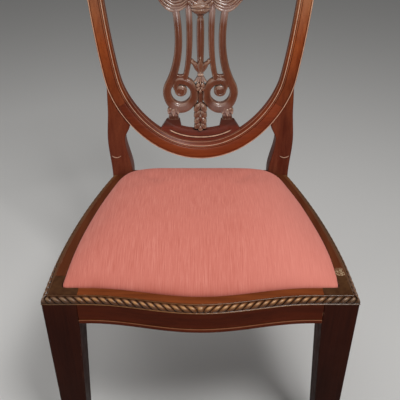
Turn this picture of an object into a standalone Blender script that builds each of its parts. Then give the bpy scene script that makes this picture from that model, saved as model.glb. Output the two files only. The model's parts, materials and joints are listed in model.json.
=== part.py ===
"""Shield back dining chair, modelled as the separate pieces it is joined from.

Metres, +Z up, the front of the chair towards -Y, the origin on the floor under
the middle of the chair. The functions count depth backwards from the front face
of the front legs. The empty named chair carries the shift to the origin.
"""

import math

import bmesh
import bpy
from mathutils import Vector

# Fits
CLEARANCE = 0.0003          # between pieces that touch
MITRE_GAP = 0.0004          # along the edge where two mouldings meet
MERGE_DISTANCE = 0.000001   # points closer than this are one

# Seat frame
SEAT_HEIGHT = 0.445         # top of the seat rails
SEAT_DEPTH = 0.412          # front leg face to the shield's plane at the seat
FRONT_HALF_WIDTH = 0.2778   # at the front corners
REAR_HALF_WIDTH = 0.203     # at the posts
SIDE_START_SLOPE = 0.02     # how far the sides lean in where they leave the front legs
SERPENTINE_RISE = 0.0225    # bulge of the front rail
SERPENTINE_HALF_SPAN = 0.200
RAIL_HEIGHT = 0.0575
RAIL_THICKNESS = 0.041
RAIL_BORDER = 0.0295        # wood left showing round the seat
REBATE_DEPTH = 0.022        # of the ledge that carries the drop-in seat
REAR_RAIL_THICKNESS = 0.038
REAR_RAIL_SETBACK = 0.014   # rear rail's front face ahead of the posts
REAR_LEDGE = 0.012          # width of the rear rail's ledge
RAIL_BEAD_HEIGHT = 0.008    # half-round along the lower edge of the front rail
RAIL_BEAD_PROUD = 0.0018

# Front legs
FRONT_LEG_TOP = 0.0615
FRONT_LEG_FOOT = 0.0415
LEG_EDGE = 0.0015           # eased edges of legs and posts

# Rear posts
POST_WIDTH = 0.047          # across the front at the seat
POST_DEPTH = 0.040
REAR_FOOT_WIDTH = 0.034
REAR_FOOT_DEPTH = 0.034
FOOT_SWEEP = 0.055          # how far the rear feet run back
STILE_WAIST_WIDTH = 0.039
STILE_WAIST_LIFT = 0.085    # of the waist above the seat
STILE_SWELL = 0.006         # outward swell of the stile at its waist
STILE_RECESS = 0.003        # stile face behind the shield's moulding
STILE_DEPTH = 0.025         # where the stile runs out behind the shield

# Back, its heights counted from the top of the seat rails
BACK_RISE = 0.523           # to the top of the crest
BACK_RAKE = 0.092           # lean of the back from seat to crest
BACK_CURVE = 0.35           # share of the lean that comes from its curve
SHIELD_LIFT = 0.0408        # to the shield's lowest edge
KNEE_HALF_WIDTH = 0.2045    # where shield and stile part
KNEE_RISE = 0.2095
SHOULDER_HALF_WIDTH = 0.2353
SHOULDER_RISE = 0.427
SHOULDER_RADIUS = 0.048
BAND_BOTTOM_WIDTH = 0.039   # shield band at its lowest point
BAND_SIDE_WIDTH = 0.0315    # shield band at the shoulders
CREST_WIDTH = 0.046         # crest at its middle
BAND_DEPTH = 0.026
LOWER_JOINT_RISE = 0.159    # to the joint of lower rail and post on the outer edge

# Tenons
TENON_LENGTH = 0.026
TENON_THICKNESS = 0.012
REAR_TENON_LENGTH = 0.018
TENON_SHOULDER = 0.008      # wood left below a rail tenon
BAND_TENON_LENGTH = 0.020
BAND_TENON_MARGIN = 0.009
BAND_TENON_HALF = 0.005     # half thickness of the tenons between the shield's pieces
TENON_ROOT = 0.005          # overlap of a tenon with its own rail
FRONT_TENON_SETBACK = 0.010  # front rail tenon behind the leg's front face
SIDE_TENON_SETBACK = 0.010  # side rail tenon in from the post's outer face
REAR_TENON_SETBACK = 0.004  # rear rail tenon behind the post's front face

# Splat
SPLAT_RECESS = 0.003        # splat face behind the shield's moulding
SPLAT_THICKNESS = 0.014
BAR_TOP_RISE = 0.367        # from the seat to where the bars meet the drapery
OUTER_BAR_X = 0.0505
INNER_BAR_X = 0.0245
BAR_HALF_WIDTH = 0.0072
SCROLL_X = 0.0425           # centre of a scroll, across
SCROLL_RISE = 0.191         # from the seat to its centre
SCROLL_RADIUS = 0.0305      # to the middle of its band
SCROLL_BAND = 0.0088        # half width of the band
SCROLL_EYE = 0.0125
EYE_SHIFT = (-0.0035, 0.0065)  # of the eye from the scroll's centre
REED_HALF_WIDTH = 0.0070
BASE_MIDDLE_HEIGHT = 0.027  # height of the splat base at its middle
BASE_END_HEIGHT = 0.022
BASE_HALF_WIDTH = 0.0895
BASE_END_SLOPE = 0.667      # how fast the ends lean in as they rise
BASE_RECESS = 0.006
BASE_THICKNESS = 0.013
FOOT_X = 0.0594             # middle of the short feet under the scrolls
FOOT_HALF_WIDTH = 0.0135
FOOT_RISE = 0.014           # of the feet over the base
FOOT_NECK = 0.0095
HUSK_HALF_WIDTH = 0.0130    # of the buds and husk on the middle line
LEAF_HALF_WIDTH = 0.0165    # of the leaves under the reed
SWAG_HALF_WIDTH = 0.0130    # of a side swag at its fullest
SWAG_FALL = 0.0376          # below the top of the crest, the place that a side swag hangs from
URN_HALF_WIDTH = 0.0235
SPLAT_TENON_HALF_WIDTH = 0.006
SPLAT_TENON_LENGTH = 0.011

# Front and back of the splat's carved parts, as shares of its thickness, no two alike
SCROLL_RELIEF = (0.0, 1.0)
BAR_RELIEF = (0.03, 0.943)
WEB_RELIEF = (0.214, 0.857)
FOOT_RELIEF = (0.086, 0.871)
KNOT_RELIEF = (-0.107, 1.057)
MIDDLE_SWAG_RELIEF = (-0.043, 0.843)
SIDE_SWAG_RELIEF = (0.014, 0.90)
TOP_TENON_RELIEF = (0.27, 0.557)
FOOT_TENON_RELIEF = (0.393, 0.679)

# Rope edge
ROPE_HEIGHT = 0.0130
ROPE_SEAT = 0.0115          # depth of the step that the moulding sits in
ROPE_PROUD = 0.0006
ROPE_PITCH = 0.014
ROPE_VALLEY = 0.16          # share of the rope's round that is cut away between two lobes
ROPE_BEAD = 0.002           # plain edges of the rope, below it and behind it

# Corner blocks
BLOCK_REACH = 0.050
BLOCK_MARGIN = 0.005        # kept clear of the rails' lower edge and ledge
SCREW_LENGTH = 0.044
SCREW_RADIUS = 0.002
SCREW_HEAD_RADIUS = 0.004
SCREW_HEAD_HEIGHT = 0.003
SCREW_SINK = 0.006          # head below the face of its block

# Drop-in seat
SEAT_PLAY = 0.0008          # between the cover and the rebate
COVER_THICKNESS = 0.0012
FRAME_WIDTH = 0.045
FRAME_THICKNESS = 0.020
FRONT_CORNER_RADIUS = 0.007
REAR_CORNER_RADIUS = 0.045
FRAME_TENON = 0.018
STRAP_WIDTH = 0.050
STRAP_THICKNESS = 0.0014
STRAP_PITCH_ACROSS = 0.110
STRAP_PITCH_ALONG = 0.080
STRAP_END_MARGIN = 0.013
HESSIAN_THICKNESS = 0.0008
HESSIAN_MARGIN = 0.011
CROWN = 0.046               # rise of the dome over the seat frame
FRONT_ROLL = (3.0, 0.85)    # powers that shape the dome's edge: gentle at the front
REAR_ROLL = (6.0, 0.45)     # and full at the rear
CROWN_SHARES = (1.0, 0.985, 0.955, 0.90, 0.82, 0.68, 0.48, 0.24)  # rings of the dome, from its edge in
PAD_SHARES = CROWN_SHARES[2:]  # the padding ends inside the edge of the frame
COVER_TURN = 0.018          # cover turned under the frame
DUST_COVER_THICKNESS = 0.0006

# Colours
SHIELD_WOOD = (0.26, 0.085, 0.035)
FRAME_WOOD = (0.10, 0.032, 0.018)
SPLAT_WOOD = (0.22, 0.085, 0.05)
ROPE_WOOD = (0.28, 0.16, 0.08)
PALE_WOOD = (0.45, 0.30, 0.17)
SALMON_CLOTH = (0.60, 0.19, 0.14)
JUTE = (0.42, 0.30, 0.17)
DARK_CLOTH = (0.03, 0.03, 0.032)
STEEL = (0.45, 0.44, 0.42)

# Derived levels and places
RAIL_BOTTOM = SEAT_HEIGHT - RAIL_HEIGHT
LEDGE = SEAT_HEIGHT - REBATE_DEPTH
CREST_HEIGHT = SEAT_HEIGHT + BACK_RISE
SHIELD_BOTTOM = SEAT_HEIGHT + SHIELD_LIFT
KNEE_HEIGHT = SEAT_HEIGHT + KNEE_RISE
SHOULDER_HEIGHT = SEAT_HEIGHT + SHOULDER_RISE
LOWER_JOINT_HEIGHT = SEAT_HEIGHT + LOWER_JOINT_RISE
BAR_TOP = SEAT_HEIGHT + BAR_TOP_RISE
SCROLL_Z = SEAT_HEIGHT + SCROLL_RISE
POST_FACE = SEAT_DEPTH + STILE_RECESS
REAR_RAIL_FACE = SEAT_DEPTH - REAR_RAIL_SETBACK
WELL_REAR = REAR_RAIL_FACE + REAR_LEDGE
TENON_BOTTOM = RAIL_BOTTOM + TENON_SHOULDER
TENON_TOP = LEDGE - TENON_SHOULDER
FRAME_INSET = RAIL_BORDER + SEAT_PLAY + COVER_THICKNESS + CLEARANCE
FRAME_BOTTOM = LEDGE + CLEARANCE + COVER_THICKNESS + CLEARANCE
FRAME_TOP = FRAME_BOTTOM + FRAME_THICKNESS
STRAP_LIFT = STRAP_THICKNESS / 2 + CLEARANCE
STRAP_MIDDLE = FRAME_TOP + STRAP_THICKNESS + 2 * CLEARANCE
HESSIAN_BOTTOM = STRAP_MIDDLE + STRAP_LIFT + STRAP_THICKNESS / 2 + CLEARANCE
PAD_BOTTOM = HESSIAN_BOTTOM + HESSIAN_THICKNESS + CLEARANCE
FRAME_FRONT_DEPTH = FRAME_INSET + FRAME_WIDTH
FRAME_REAR = WELL_REAR + RAIL_BORDER - FRAME_INSET
FRAME_REAR_DEPTH = FRAME_REAR - FRAME_WIDTH
SEAT_MIDDLE = 0.5 * (FRAME_INSET - SERPENTINE_RISE + FRAME_REAR)


# Scene helpers

def clear_scene():
    for item in list(bpy.data.objects):
        bpy.data.objects.remove(item, do_unlink=True)


def make_material(name, colour, roughness, metallic=0.0):
    material = bpy.data.materials.new(name)
    material.use_nodes = True
    shader = material.node_tree.nodes["Principled BSDF"]
    shader.inputs["Base Color"].default_value = (*colour, 1.0)
    shader.inputs["Roughness"].default_value = roughness
    shader.inputs["Metallic"].default_value = metallic
    return material


def make_empty(name, location, parent=None):
    empty = bpy.data.objects.new(name, None)
    bpy.context.scene.collection.objects.link(empty)
    empty.location = location
    empty.parent = parent
    return empty


def add_object(name, mesh_points, faces, parent, material=None):
    """A mesh object whose points are given in chair space, closed and facing out."""
    mesh = bpy.data.meshes.new(name)
    base = parent.location if parent.parent else Vector((0.0, 0.0, 0.0))
    mesh.from_pydata([Vector(point) - base for point in mesh_points], [], faces)
    shape = bmesh.new()
    shape.from_mesh(mesh)
    bmesh.ops.remove_doubles(shape, verts=shape.verts, dist=MERGE_DISTANCE)
    bmesh.ops.recalc_face_normals(shape, faces=shape.faces)
    shape.to_mesh(mesh)
    shape.free()
    mesh.shade_smooth()
    mesh.set_sharp_from_angle(angle=math.radians(32))
    item = bpy.data.objects.new(name, mesh)
    bpy.context.scene.collection.objects.link(item)
    item.parent = parent
    if material:
        item.data.materials.append(material)
    return item


def loft(rings):
    """Points and faces of a solid skinned over closed rings of equal length."""
    count = len(rings[0])
    points = [point for ring in rings for point in ring]
    faces = []
    for row in range(len(rings) - 1):
        for place in range(count):
            after = (place + 1) % count
            faces.append((row * count + place, row * count + after,
                          (row + 1) * count + after, (row + 1) * count + place))
    faces.append(tuple(range(count - 1, -1, -1)))
    last = (len(rings) - 1) * count
    faces.append(tuple(last + place for place in range(count)))
    return points, faces


def dome(rings, first_pole, last_pole):
    """Points and faces of a solid skinned over rings and closed by a pole at each end."""
    count = len(rings[0])
    points, faces = loft(rings)
    faces = faces[:-2]
    points = points + [first_pole, last_pole]
    last = (len(rings) - 1) * count
    for place in range(count):
        after = (place + 1) % count
        faces.append((after, place, len(points) - 2))
        faces.append((last + place, last + after, len(points) - 1))
    return points, faces


def prism(outline, low, high):
    return loft([[(x, y, low) for x, y in outline], [(x, y, high) for x, y in outline]])


def box(low, high):
    outline = [(low[0], low[1]), (high[0], low[1]), (high[0], high[1]), (low[0], high[1])]
    return prism(outline, low[2], high[2])


def mirrored(points, side):
    return [(side * x, y, z) for x, y, z in points]


def change_shape(target, tools, operation):
    """Boolean each hidden tool, given as points and faces, into the target."""
    for number, (points, faces) in enumerate(tools):
        tool = add_object(f"{target.name}_{operation.lower()}_{number}", points, faces, target.parent)
        tool.hide_render = True
        tool.display_type = 'WIRE'
        modifier = target.modifiers.new(f"{operation.lower()}_{number}", 'BOOLEAN')
        modifier.operation = operation
        modifier.solver = 'EXACT'
        modifier.object = tool


def cut(target, tools):
    change_shape(target, tools, 'DIFFERENCE')


def fuse(target, tools):
    change_shape(target, tools, 'UNION')


# Curves

def blend(first, last, share):
    return first + (last - first) * share


def ease(share):
    """Smooth step from 0 to 1."""
    share = min(max(share, 0.0), 1.0)
    return share * share * (3.0 - 2.0 * share)


def bezier(controls, steps):
    """Points along a quadratic or cubic Bezier curve, both ends included."""
    result = []
    for step in range(steps + 1):
        share = step / steps
        level = [Vector(point) for point in controls]
        while len(level) > 1:
            level = [blend(level[place], level[place + 1], share) for place in range(len(level) - 1)]
        result.append(level[0])
    return result


def through(keys, value):
    """Smooth interpolation through sorted pairs of position and value."""
    if value <= keys[0][0]:
        return keys[0][1]
    for (start, low), (end, high) in zip(keys, keys[1:]):
        if value <= end:
            return blend(low, high, ease((value - start) / (end - start)))
    return keys[-1][1]


def side_x(depth):
    """Half width of the seat frame at a depth: a bowed side."""
    fall = FRONT_HALF_WIDTH - REAR_HALF_WIDTH
    bend = (fall - SIDE_START_SLOPE * SEAT_DEPTH) / SEAT_DEPTH ** 2
    return FRONT_HALF_WIDTH - SIDE_START_SLOPE * depth - bend * depth ** 2


def front_y(x):
    """Depth of the serpentine front face at a place across the chair."""
    share = min(abs(x) / SERPENTINE_HALF_SPAN, 1.0)
    return -SERPENTINE_RISE * 0.5 * (1.0 + math.cos(math.pi * share))


def back_y(height):
    """Depth of the shield's front plane: raked above the seat, swept below the rails."""
    if height >= SEAT_HEIGHT:
        share = (height - SEAT_HEIGHT) / (CREST_HEIGHT - SEAT_HEIGHT)
        return SEAT_DEPTH + BACK_RAKE * ((1.0 - BACK_CURVE) * share + BACK_CURVE * share ** 2)
    share = max(RAIL_BOTTOM - height, 0.0) / RAIL_BOTTOM
    return SEAT_DEPTH + FOOT_SWEEP * share ** 1.7


def on_back(x, z, depth):
    """A point given flat on the back, put in chair space at a depth behind the shield's plane."""
    return (x, back_y(z) + depth, z)


# Shield outline

def shield_half_outline():
    """Right half of the shield's outer edge, from the lowest point to the top of the crest."""
    shoulder_end = SHOULDER_HALF_WIDTH - SHOULDER_RADIUS
    shoulder_top = SHOULDER_HEIGHT + SHOULDER_RADIUS
    round_handle = 0.55 * SHOULDER_RADIUS
    lower_rise = KNEE_HEIGHT - SHIELD_BOTTOM
    side_rise = SHOULDER_HEIGHT - KNEE_HEIGHT
    lower = bezier([(0.0, SHIELD_BOTTOM),
                    (0.53 * KNEE_HALF_WIDTH, SHIELD_BOTTOM),
                    (0.915 * KNEE_HALF_WIDTH, KNEE_HEIGHT - 0.41 * lower_rise),
                    (KNEE_HALF_WIDTH, KNEE_HEIGHT)], 40)
    side = bezier([(KNEE_HALF_WIDTH, KNEE_HEIGHT),
                   (blend(KNEE_HALF_WIDTH, SHOULDER_HALF_WIDTH, 0.36), KNEE_HEIGHT + 0.2 * side_rise),
                   (SHOULDER_HALF_WIDTH - 0.0014, SHOULDER_HEIGHT - 0.2 * side_rise),
                   (SHOULDER_HALF_WIDTH, SHOULDER_HEIGHT)], 40)
    shoulder = bezier([(SHOULDER_HALF_WIDTH, SHOULDER_HEIGHT),
                       (SHOULDER_HALF_WIDTH + 0.0014, SHOULDER_HEIGHT + round_handle),
                       (shoulder_end + round_handle, shoulder_top),
                       (shoulder_end, shoulder_top)], 24)
    crest = bezier([(shoulder_end, shoulder_top),
                    (0.76 * shoulder_end, shoulder_top),
                    (0.45 * shoulder_end, CREST_HEIGHT),
                    (0.0, CREST_HEIGHT)], 40)
    return lower + side[1:] + shoulder[1:] + crest[1:]


class Shield:
    """The shield's outer edge measured by length, on the right half of the back."""

    def __init__(self):
        self.points = shield_half_outline()
        self.lengths = [0.0]
        for start, end in zip(self.points, self.points[1:]):
            self.lengths.append(self.lengths[-1] + (end - start).length)
        self.total = self.lengths[-1]
        self.tangents = [Vector((1.0, 0.0))]
        for before, after in zip(self.points, self.points[2:]):
            self.tangents.append((after - before).normalized())
        self.tangents.append(Vector((-1.0, 0.0)))
        self.lower_joint = self.length_at_height(LOWER_JOINT_HEIGHT)
        self.upper_joint = self.length_at_height(SHOULDER_HEIGHT)

    def length_at_height(self, height):
        for place in range(1, len(self.points)):
            low = self.points[place - 1].y
            high = self.points[place].y
            if low < height <= high:
                share = (height - low) / (high - low)
                return blend(self.lengths[place - 1], self.lengths[place], share)
        return self.total

    def edge(self, length):
        """Point and inward direction at a length along the outer edge."""
        place = 1
        while place < len(self.points) - 1 and self.lengths[place] < length:
            place += 1
        start = self.points[place - 1]
        end = self.points[place]
        share = (length - self.lengths[place - 1]) / (self.lengths[place] - self.lengths[place - 1])
        along = blend(self.tangents[place - 1], self.tangents[place], share).normalized()
        return blend(start, end, share), Vector((-along.y, along.x))

    def width(self, length):
        """Width of the band: widest at the bottom and at the middle of the crest."""
        if length < self.upper_joint:
            share = 1.0 - length / self.upper_joint
            return BAND_SIDE_WIDTH + (BAND_BOTTOM_WIDTH - BAND_SIDE_WIDTH) * share ** 2
        share = (length - self.upper_joint) / (self.total - self.upper_joint)
        return blend(BAND_SIDE_WIDTH, CREST_WIDTH, ease(share))

    def place(self, length, across, depth, side=1):
        point, inward = self.edge(length)
        flat = point + inward * across
        return on_back(side * flat.x, flat.y, depth)

    def outer_x(self, height):
        return self.edge(self.length_at_height(height))[0].x


def band_section(width):
    """Moulded section of the shield: distance in from the outer edge, and depth."""
    back_edge = 0.005
    bead = [(0.0, 0.0022), (0.0010, 0.0005), (0.0025, 0.0), (0.0040, 0.0008), (0.0047, 0.0024)]
    field = [(0.0085, 0.0017), (0.5 * width, 0.0012), (width - 0.0125, 0.0018), (width - 0.0100, 0.0028)]
    inner = [(width - 0.0085, 0.0008), (width - 0.0060, 0.0), (width - 0.0032, 0.0008), (width, 0.0045)]
    back = [(width, BAND_DEPTH - back_edge), (width - back_edge, BAND_DEPTH),
            (back_edge, BAND_DEPTH), (0.0, BAND_DEPTH - back_edge)]
    return bead + field + inner + back


def band_rings(shield, lengths, side=1):
    rings = []
    for length in lengths:
        section = band_section(shield.width(length))
        rings.append([shield.place(length, across, depth, side) for across, depth in section])
    return rings


def band_block(shield, start, end, grow, side):
    """A tenon that follows the band between two lengths."""
    margin = BAND_TENON_MARGIN - grow
    low = 0.5 * BAND_DEPTH - BAND_TENON_HALF - grow
    high = BAND_DEPTH - low
    rings = []
    for length in (start, blend(start, end, 0.5), end):
        width = shield.width(length)
        section = [(margin, low), (width - margin, low), (width - margin, high), (margin, high)]
        rings.append([shield.place(length, across, depth, side) for across, depth in section])
    return loft(rings)


def steps_between(start, end, count):
    return [blend(start, end, step / count) for step in range(count + 1)]


# Rail joints, given by their corners for the right-hand side

def front_tenon(side, grow):
    """Tenon of the front rail into a front leg."""
    inner_face = FRONT_HALF_WIDTH - FRONT_LEG_TOP
    low = (inner_face - TENON_ROOT, FRONT_TENON_SETBACK - grow, TENON_BOTTOM - grow)
    high = (inner_face + TENON_LENGTH + grow, FRONT_TENON_SETBACK + TENON_THICKNESS + grow, TENON_TOP + grow)
    points, faces = box(low, high)
    return mirrored(points, side), faces


def side_front_tenon(side, grow):
    """Tenon of a side rail into a front leg."""
    outer = side_x(FRONT_LEG_TOP) - TENON_THICKNESS
    low = (outer - TENON_THICKNESS - grow, FRONT_LEG_TOP - TENON_LENGTH - grow, TENON_BOTTOM - grow)
    high = (outer + grow, FRONT_LEG_TOP + TENON_ROOT, TENON_TOP + grow)
    points, faces = box(low, high)
    return mirrored(points, side), faces


def side_rear_tenon(side, grow):
    """Tenon of a side rail into a rear post."""
    outer = REAR_HALF_WIDTH - SIDE_TENON_SETBACK
    low = (outer - TENON_THICKNESS - grow, POST_FACE - TENON_ROOT, TENON_BOTTOM - grow)
    high = (outer + grow, POST_FACE + TENON_LENGTH + grow, TENON_TOP + grow)
    points, faces = box(low, high)
    return mirrored(points, side), faces


def rear_tenon(side, grow):
    """Tenon of the rear rail into a rear post."""
    inner_face = REAR_HALF_WIDTH - POST_WIDTH
    front = POST_FACE + REAR_TENON_SETBACK
    low = (inner_face - TENON_ROOT, front - grow, TENON_BOTTOM - grow)
    high = (inner_face + REAR_TENON_LENGTH + grow, front + TENON_THICKNESS + grow, TENON_TOP + grow)
    points, faces = box(low, high)
    return mirrored(points, side), faces


# Seat opening

def front_edge(inset, steps):
    """Right half of the front edge, from the middle to the start of the corner."""
    corner = side_x(inset) - inset
    places = steps_between(0.0, corner - FRONT_CORNER_RADIUS, steps)
    return [(x, front_y(x) + inset) for x in places]


def front_corner(inset):
    corner = side_x(inset) - inset
    far = inset + FRONT_CORNER_RADIUS
    curve = bezier([(corner - FRONT_CORNER_RADIUS, inset), (corner, inset), (side_x(far) - inset, far)], 3)
    return [tuple(point) for point in curve[1:]]


def side_edge(inset, start, end, steps):
    return [(side_x(depth) - inset, depth) for depth in steps_between(start, end, steps)]


def rear_corner(inset):
    rear = WELL_REAR + RAIL_BORDER - inset
    corner = side_x(rear) - inset
    start = rear - REAR_CORNER_RADIUS
    curve = bezier([(side_x(start) - inset, start), (corner, rear), (corner - REAR_CORNER_RADIUS, rear)], 5)
    return [tuple(point) for point in curve]


def both_sides(half):
    """Whole outline from its right half, whose first point is on the middle line."""
    left = [(-x, y) for x, y in reversed(half) if x > 0.0]
    return half + left


def seat_outline(inset):
    """Outline of the seat opening, drawn in from the rail faces."""
    rear = WELL_REAR + RAIL_BORDER - inset
    start = inset + FRONT_CORNER_RADIUS
    side = side_edge(inset, start, rear - REAR_CORNER_RADIUS, 6)[1:-1]
    half = front_edge(inset, 8) + front_corner(inset) + side + rear_corner(inset) + [(0.0, rear)]
    return both_sides(half)


# Chair frame pieces

def add_front_leg(name, side, chair, wood):
    """Square leg, plumb outside and tapered inside, with the rope's step and the seat rebate."""

    def ring(height, width):
        corners = [(FRONT_HALF_WIDTH - width, 0.0), (FRONT_HALF_WIDTH, 0.0), (side_x(width), width),
                   (FRONT_HALF_WIDTH - width, width)]
        eased = []
        for place, corner in enumerate(corners):
            before = Vector(corners[place - 1])
            after = Vector(corners[(place + 1) % 4])
            corner = Vector(corner)
            eased.append(corner + (before - corner).normalized() * LEG_EDGE)
            eased.append(corner + (after - corner).normalized() * LEG_EDGE)
        return [(point.x, point.y, height) for point in eased]

    points, faces = loft([ring(0.0, FRONT_LEG_FOOT), ring(RAIL_BOTTOM, FRONT_LEG_TOP),
                          ring(SEAT_HEIGHT, FRONT_LEG_TOP)])
    leg = add_object(name, mirrored(points, side), faces, chair, wood)
    well = prism(seat_outline(RAIL_BORDER), LEDGE, SEAT_HEIGHT + REBATE_DEPTH)
    cut(leg, [leg_rope_step(side), well, front_tenon(side, CLEARANCE), side_front_tenon(side, CLEARANCE)])
    return leg


def leg_rope_step(side):
    """Step round a front leg's outer corner that the rope mouldings sit in."""
    past = ROPE_HEIGHT
    inner = FRONT_HALF_WIDTH - FRONT_LEG_TOP - past
    outer = FRONT_HALF_WIDTH + past
    behind = FRONT_LEG_TOP + past
    outline = [(inner, -past), (outer, -past), (outer, behind), (side_x(behind) - ROPE_SEAT, behind),
               (side_x(ROPE_SEAT) - ROPE_SEAT, ROPE_SEAT), (inner, ROPE_SEAT)]
    points, faces = prism(outline, SEAT_HEIGHT - ROPE_HEIGHT, SEAT_HEIGHT + past)
    return mirrored(points, side), faces


def rail_section():
    """Section of a seat rail: distance in from its face, and height."""
    step_height = SEAT_HEIGHT - ROPE_HEIGHT
    return [(0.0, step_height), (ROPE_SEAT, step_height), (ROPE_SEAT, SEAT_HEIGHT),
            (RAIL_BORDER, SEAT_HEIGHT), (RAIL_BORDER, LEDGE),
            (RAIL_THICKNESS, LEDGE), (RAIL_THICKNESS, RAIL_BOTTOM)]


def bead_section():
    """Half-round along the lower edge of the front rail, from the bottom up."""
    middle = RAIL_BOTTOM + 0.5 * RAIL_BEAD_HEIGHT
    result = []
    for step in range(5):
        angle = math.pi * (step / 4 - 0.5)
        result.append((-RAIL_BEAD_PROUD * math.cos(angle), middle + 0.5 * RAIL_BEAD_HEIGHT * math.sin(angle)))
    quirk = (0.0, RAIL_BOTTOM + 1.25 * RAIL_BEAD_HEIGHT)
    return result + [quirk]


def add_front_rail(chair, wood):
    section = bead_section() + rail_section()
    half = FRONT_HALF_WIDTH - FRONT_LEG_TOP - CLEARANCE
    rings = []
    for x in steps_between(-half, half, 30):
        rings.append([(x, front_y(x) + inward, height) for inward, height in section])
    points, faces = loft(rings)
    rail = add_object("front_rail", points, faces, chair, wood)
    fuse(rail, [front_tenon(1, 0.0), front_tenon(-1, 0.0)])
    cut(rail, [screw_hole(start, along) for start, along in front_screws()])
    return rail


def add_side_rail(name, side, chair, wood):
    section = [(0.0, RAIL_BOTTOM)] + rail_section()
    rings = []
    for depth in steps_between(FRONT_LEG_TOP + CLEARANCE, POST_FACE - CLEARANCE, 14):
        rings.append([(side_x(depth) - inward, depth, height) for inward, height in section])
    points, faces = loft(rings)
    rail = add_object(name, mirrored(points, side), faces, chair, wood)
    fuse(rail, [side_front_tenon(side, 0.0), side_rear_tenon(side, 0.0)])
    cut(rail, [screw_hole(start, along) for start, along in side_screws(side)])
    return rail


def add_rear_rail(chair, wood):
    half = REAR_HALF_WIDTH - POST_WIDTH - CLEARANCE
    back = REAR_RAIL_FACE + REAR_RAIL_THICKNESS
    section = [(REAR_RAIL_FACE, RAIL_BOTTOM), (back, RAIL_BOTTOM), (back, SEAT_HEIGHT),
               (WELL_REAR, SEAT_HEIGHT), (WELL_REAR, LEDGE), (REAR_RAIL_FACE, LEDGE)]
    rings = [[(x, depth, height) for depth, height in section] for x in (-half, half)]
    points, faces = loft(rings)
    rail = add_object("rear_rail", points, faces, chair, wood)
    fuse(rail, [rear_tenon(1, 0.0), rear_tenon(-1, 0.0)])
    cut(rail, [screw_hole(start, along) for start, along in rear_screws()])
    return rail


def stile_edges(shield, height):
    """Outer and inner edge of a post below and beside the shield."""
    waist = SEAT_HEIGHT + STILE_WAIST_LIFT
    waist_outer = REAR_HALF_WIDTH + STILE_SWELL
    meeting = LOWER_JOINT_HEIGHT - 0.038
    outer = through([(0.0, REAR_HALF_WIDTH), (SEAT_HEIGHT, REAR_HALF_WIDTH), (waist, waist_outer),
                     (LOWER_JOINT_HEIGHT, KNEE_HALF_WIDTH), (KNEE_HEIGHT, KNEE_HALF_WIDTH - 0.001)], height)
    inner = through([(0.0, REAR_HALF_WIDTH - REAR_FOOT_WIDTH), (RAIL_BOTTOM, REAR_HALF_WIDTH - POST_WIDTH),
                     (SEAT_HEIGHT, REAR_HALF_WIDTH - POST_WIDTH), (waist, waist_outer - STILE_WAIST_WIDTH),
                     (meeting, shield.outer_x(meeting))], height)
    if height > meeting:
        inner = shield.outer_x(height) + 2 * CLEARANCE
    if height > LOWER_JOINT_HEIGHT + 0.004:
        inner = shield.outer_x(height) - 0.008
    return outer, inner


def add_post(name, side, shield, chair, wood):
    """Rear leg, stile and side of the shield in one piece."""
    top = KNEE_HEIGHT + 0.004
    heights = (steps_between(0.0, RAIL_BOTTOM, 8) + steps_between(SEAT_HEIGHT, LOWER_JOINT_HEIGHT, 14)
               + [LOWER_JOINT_HEIGHT + 0.010] + steps_between(LOWER_JOINT_HEIGHT + 0.022, top, 2))
    rings = []
    for height in heights:
        outer, inner = stile_edges(shield, height)
        front = STILE_RECESS
        back = through([(0.0, front + REAR_FOOT_DEPTH), (RAIL_BOTTOM, front + POST_DEPTH),
                        (SEAT_HEIGHT, front + POST_DEPTH), (KNEE_HEIGHT, STILE_DEPTH)], height)
        edge = min(LEG_EDGE, 0.3 * (outer - inner))
        corners = [(inner + edge, front), (outer - edge, front), (outer, front + edge), (outer, back - edge),
                   (outer - edge, back), (inner + edge, back), (inner, back - edge), (inner, front + edge)]
        rings.append([on_back(x, height, depth) for x, depth in corners])
    points, faces = loft(rings)
    post = add_object(name, mirrored(points, side), faces, chair, wood)
    start = shield.lower_joint + MITRE_GAP
    end = shield.upper_joint - MITRE_GAP
    band = loft(band_rings(shield, steps_between(start, end, 18), side))
    tenon = band_block(shield, end - TENON_ROOT, end + BAND_TENON_LENGTH, 0.0, side)
    fuse(post, [band, tenon])
    cut(post, [lower_rail_tenon(shield, side, CLEARANCE), side_rear_tenon(side, CLEARANCE),
               rear_tenon(side, CLEARANCE)])
    return post


def lower_rail_tenon(shield, side, grow):
    """Tenon of the lower shield rail into a post."""
    start = shield.lower_joint - TENON_ROOT
    return band_block(shield, start, shield.lower_joint + BAND_TENON_LENGTH + grow, grow, side)


def add_lower_rail(shield, chair, wood):
    """Lower curve of the shield, tenoned into both posts."""
    lengths = steps_between(0.0, shield.lower_joint, 16)
    left = band_rings(shield, lengths[:0:-1], -1)
    right = band_rings(shield, lengths, 1)
    points, faces = loft(left + right)
    rail = add_object("shield_lower_rail", points, faces, chair, wood)
    fuse(rail, [lower_rail_tenon(shield, 1, 0.0), lower_rail_tenon(shield, -1, 0.0)])
    return rail


def add_crest_rail(shield, chair, wood):
    """Serpentine crest with the shoulders, seated on the posts' tenons and on the splat's."""
    start = shield.upper_joint
    shoulder = steps_between(start, start + 1.6 * SHOULDER_RADIUS, 7)
    lengths = shoulder[:-1] + steps_between(shoulder[-1], shield.total, 12)
    right = band_rings(shield, lengths, 1)
    left = band_rings(shield, lengths[-2::-1], -1)
    points, faces = loft(right + left)
    rail = add_object("crest_rail", points, faces, chair, wood)
    mortises = [splat_top_tenon(CLEARANCE)]
    for side in (1, -1):
        end = start + BAND_TENON_LENGTH + CLEARANCE
        mortises.append(band_block(shield, start - TENON_ROOT, end, CLEARANCE, side))
    cut(rail, mortises)
    return rail


# Splat

def flat_block(corners, low, high):
    """A block drawn flat on the back between two depths."""
    return loft([[on_back(x, z, low) for x, z in corners], [on_back(x, z, high) for x, z in corners]])


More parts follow.
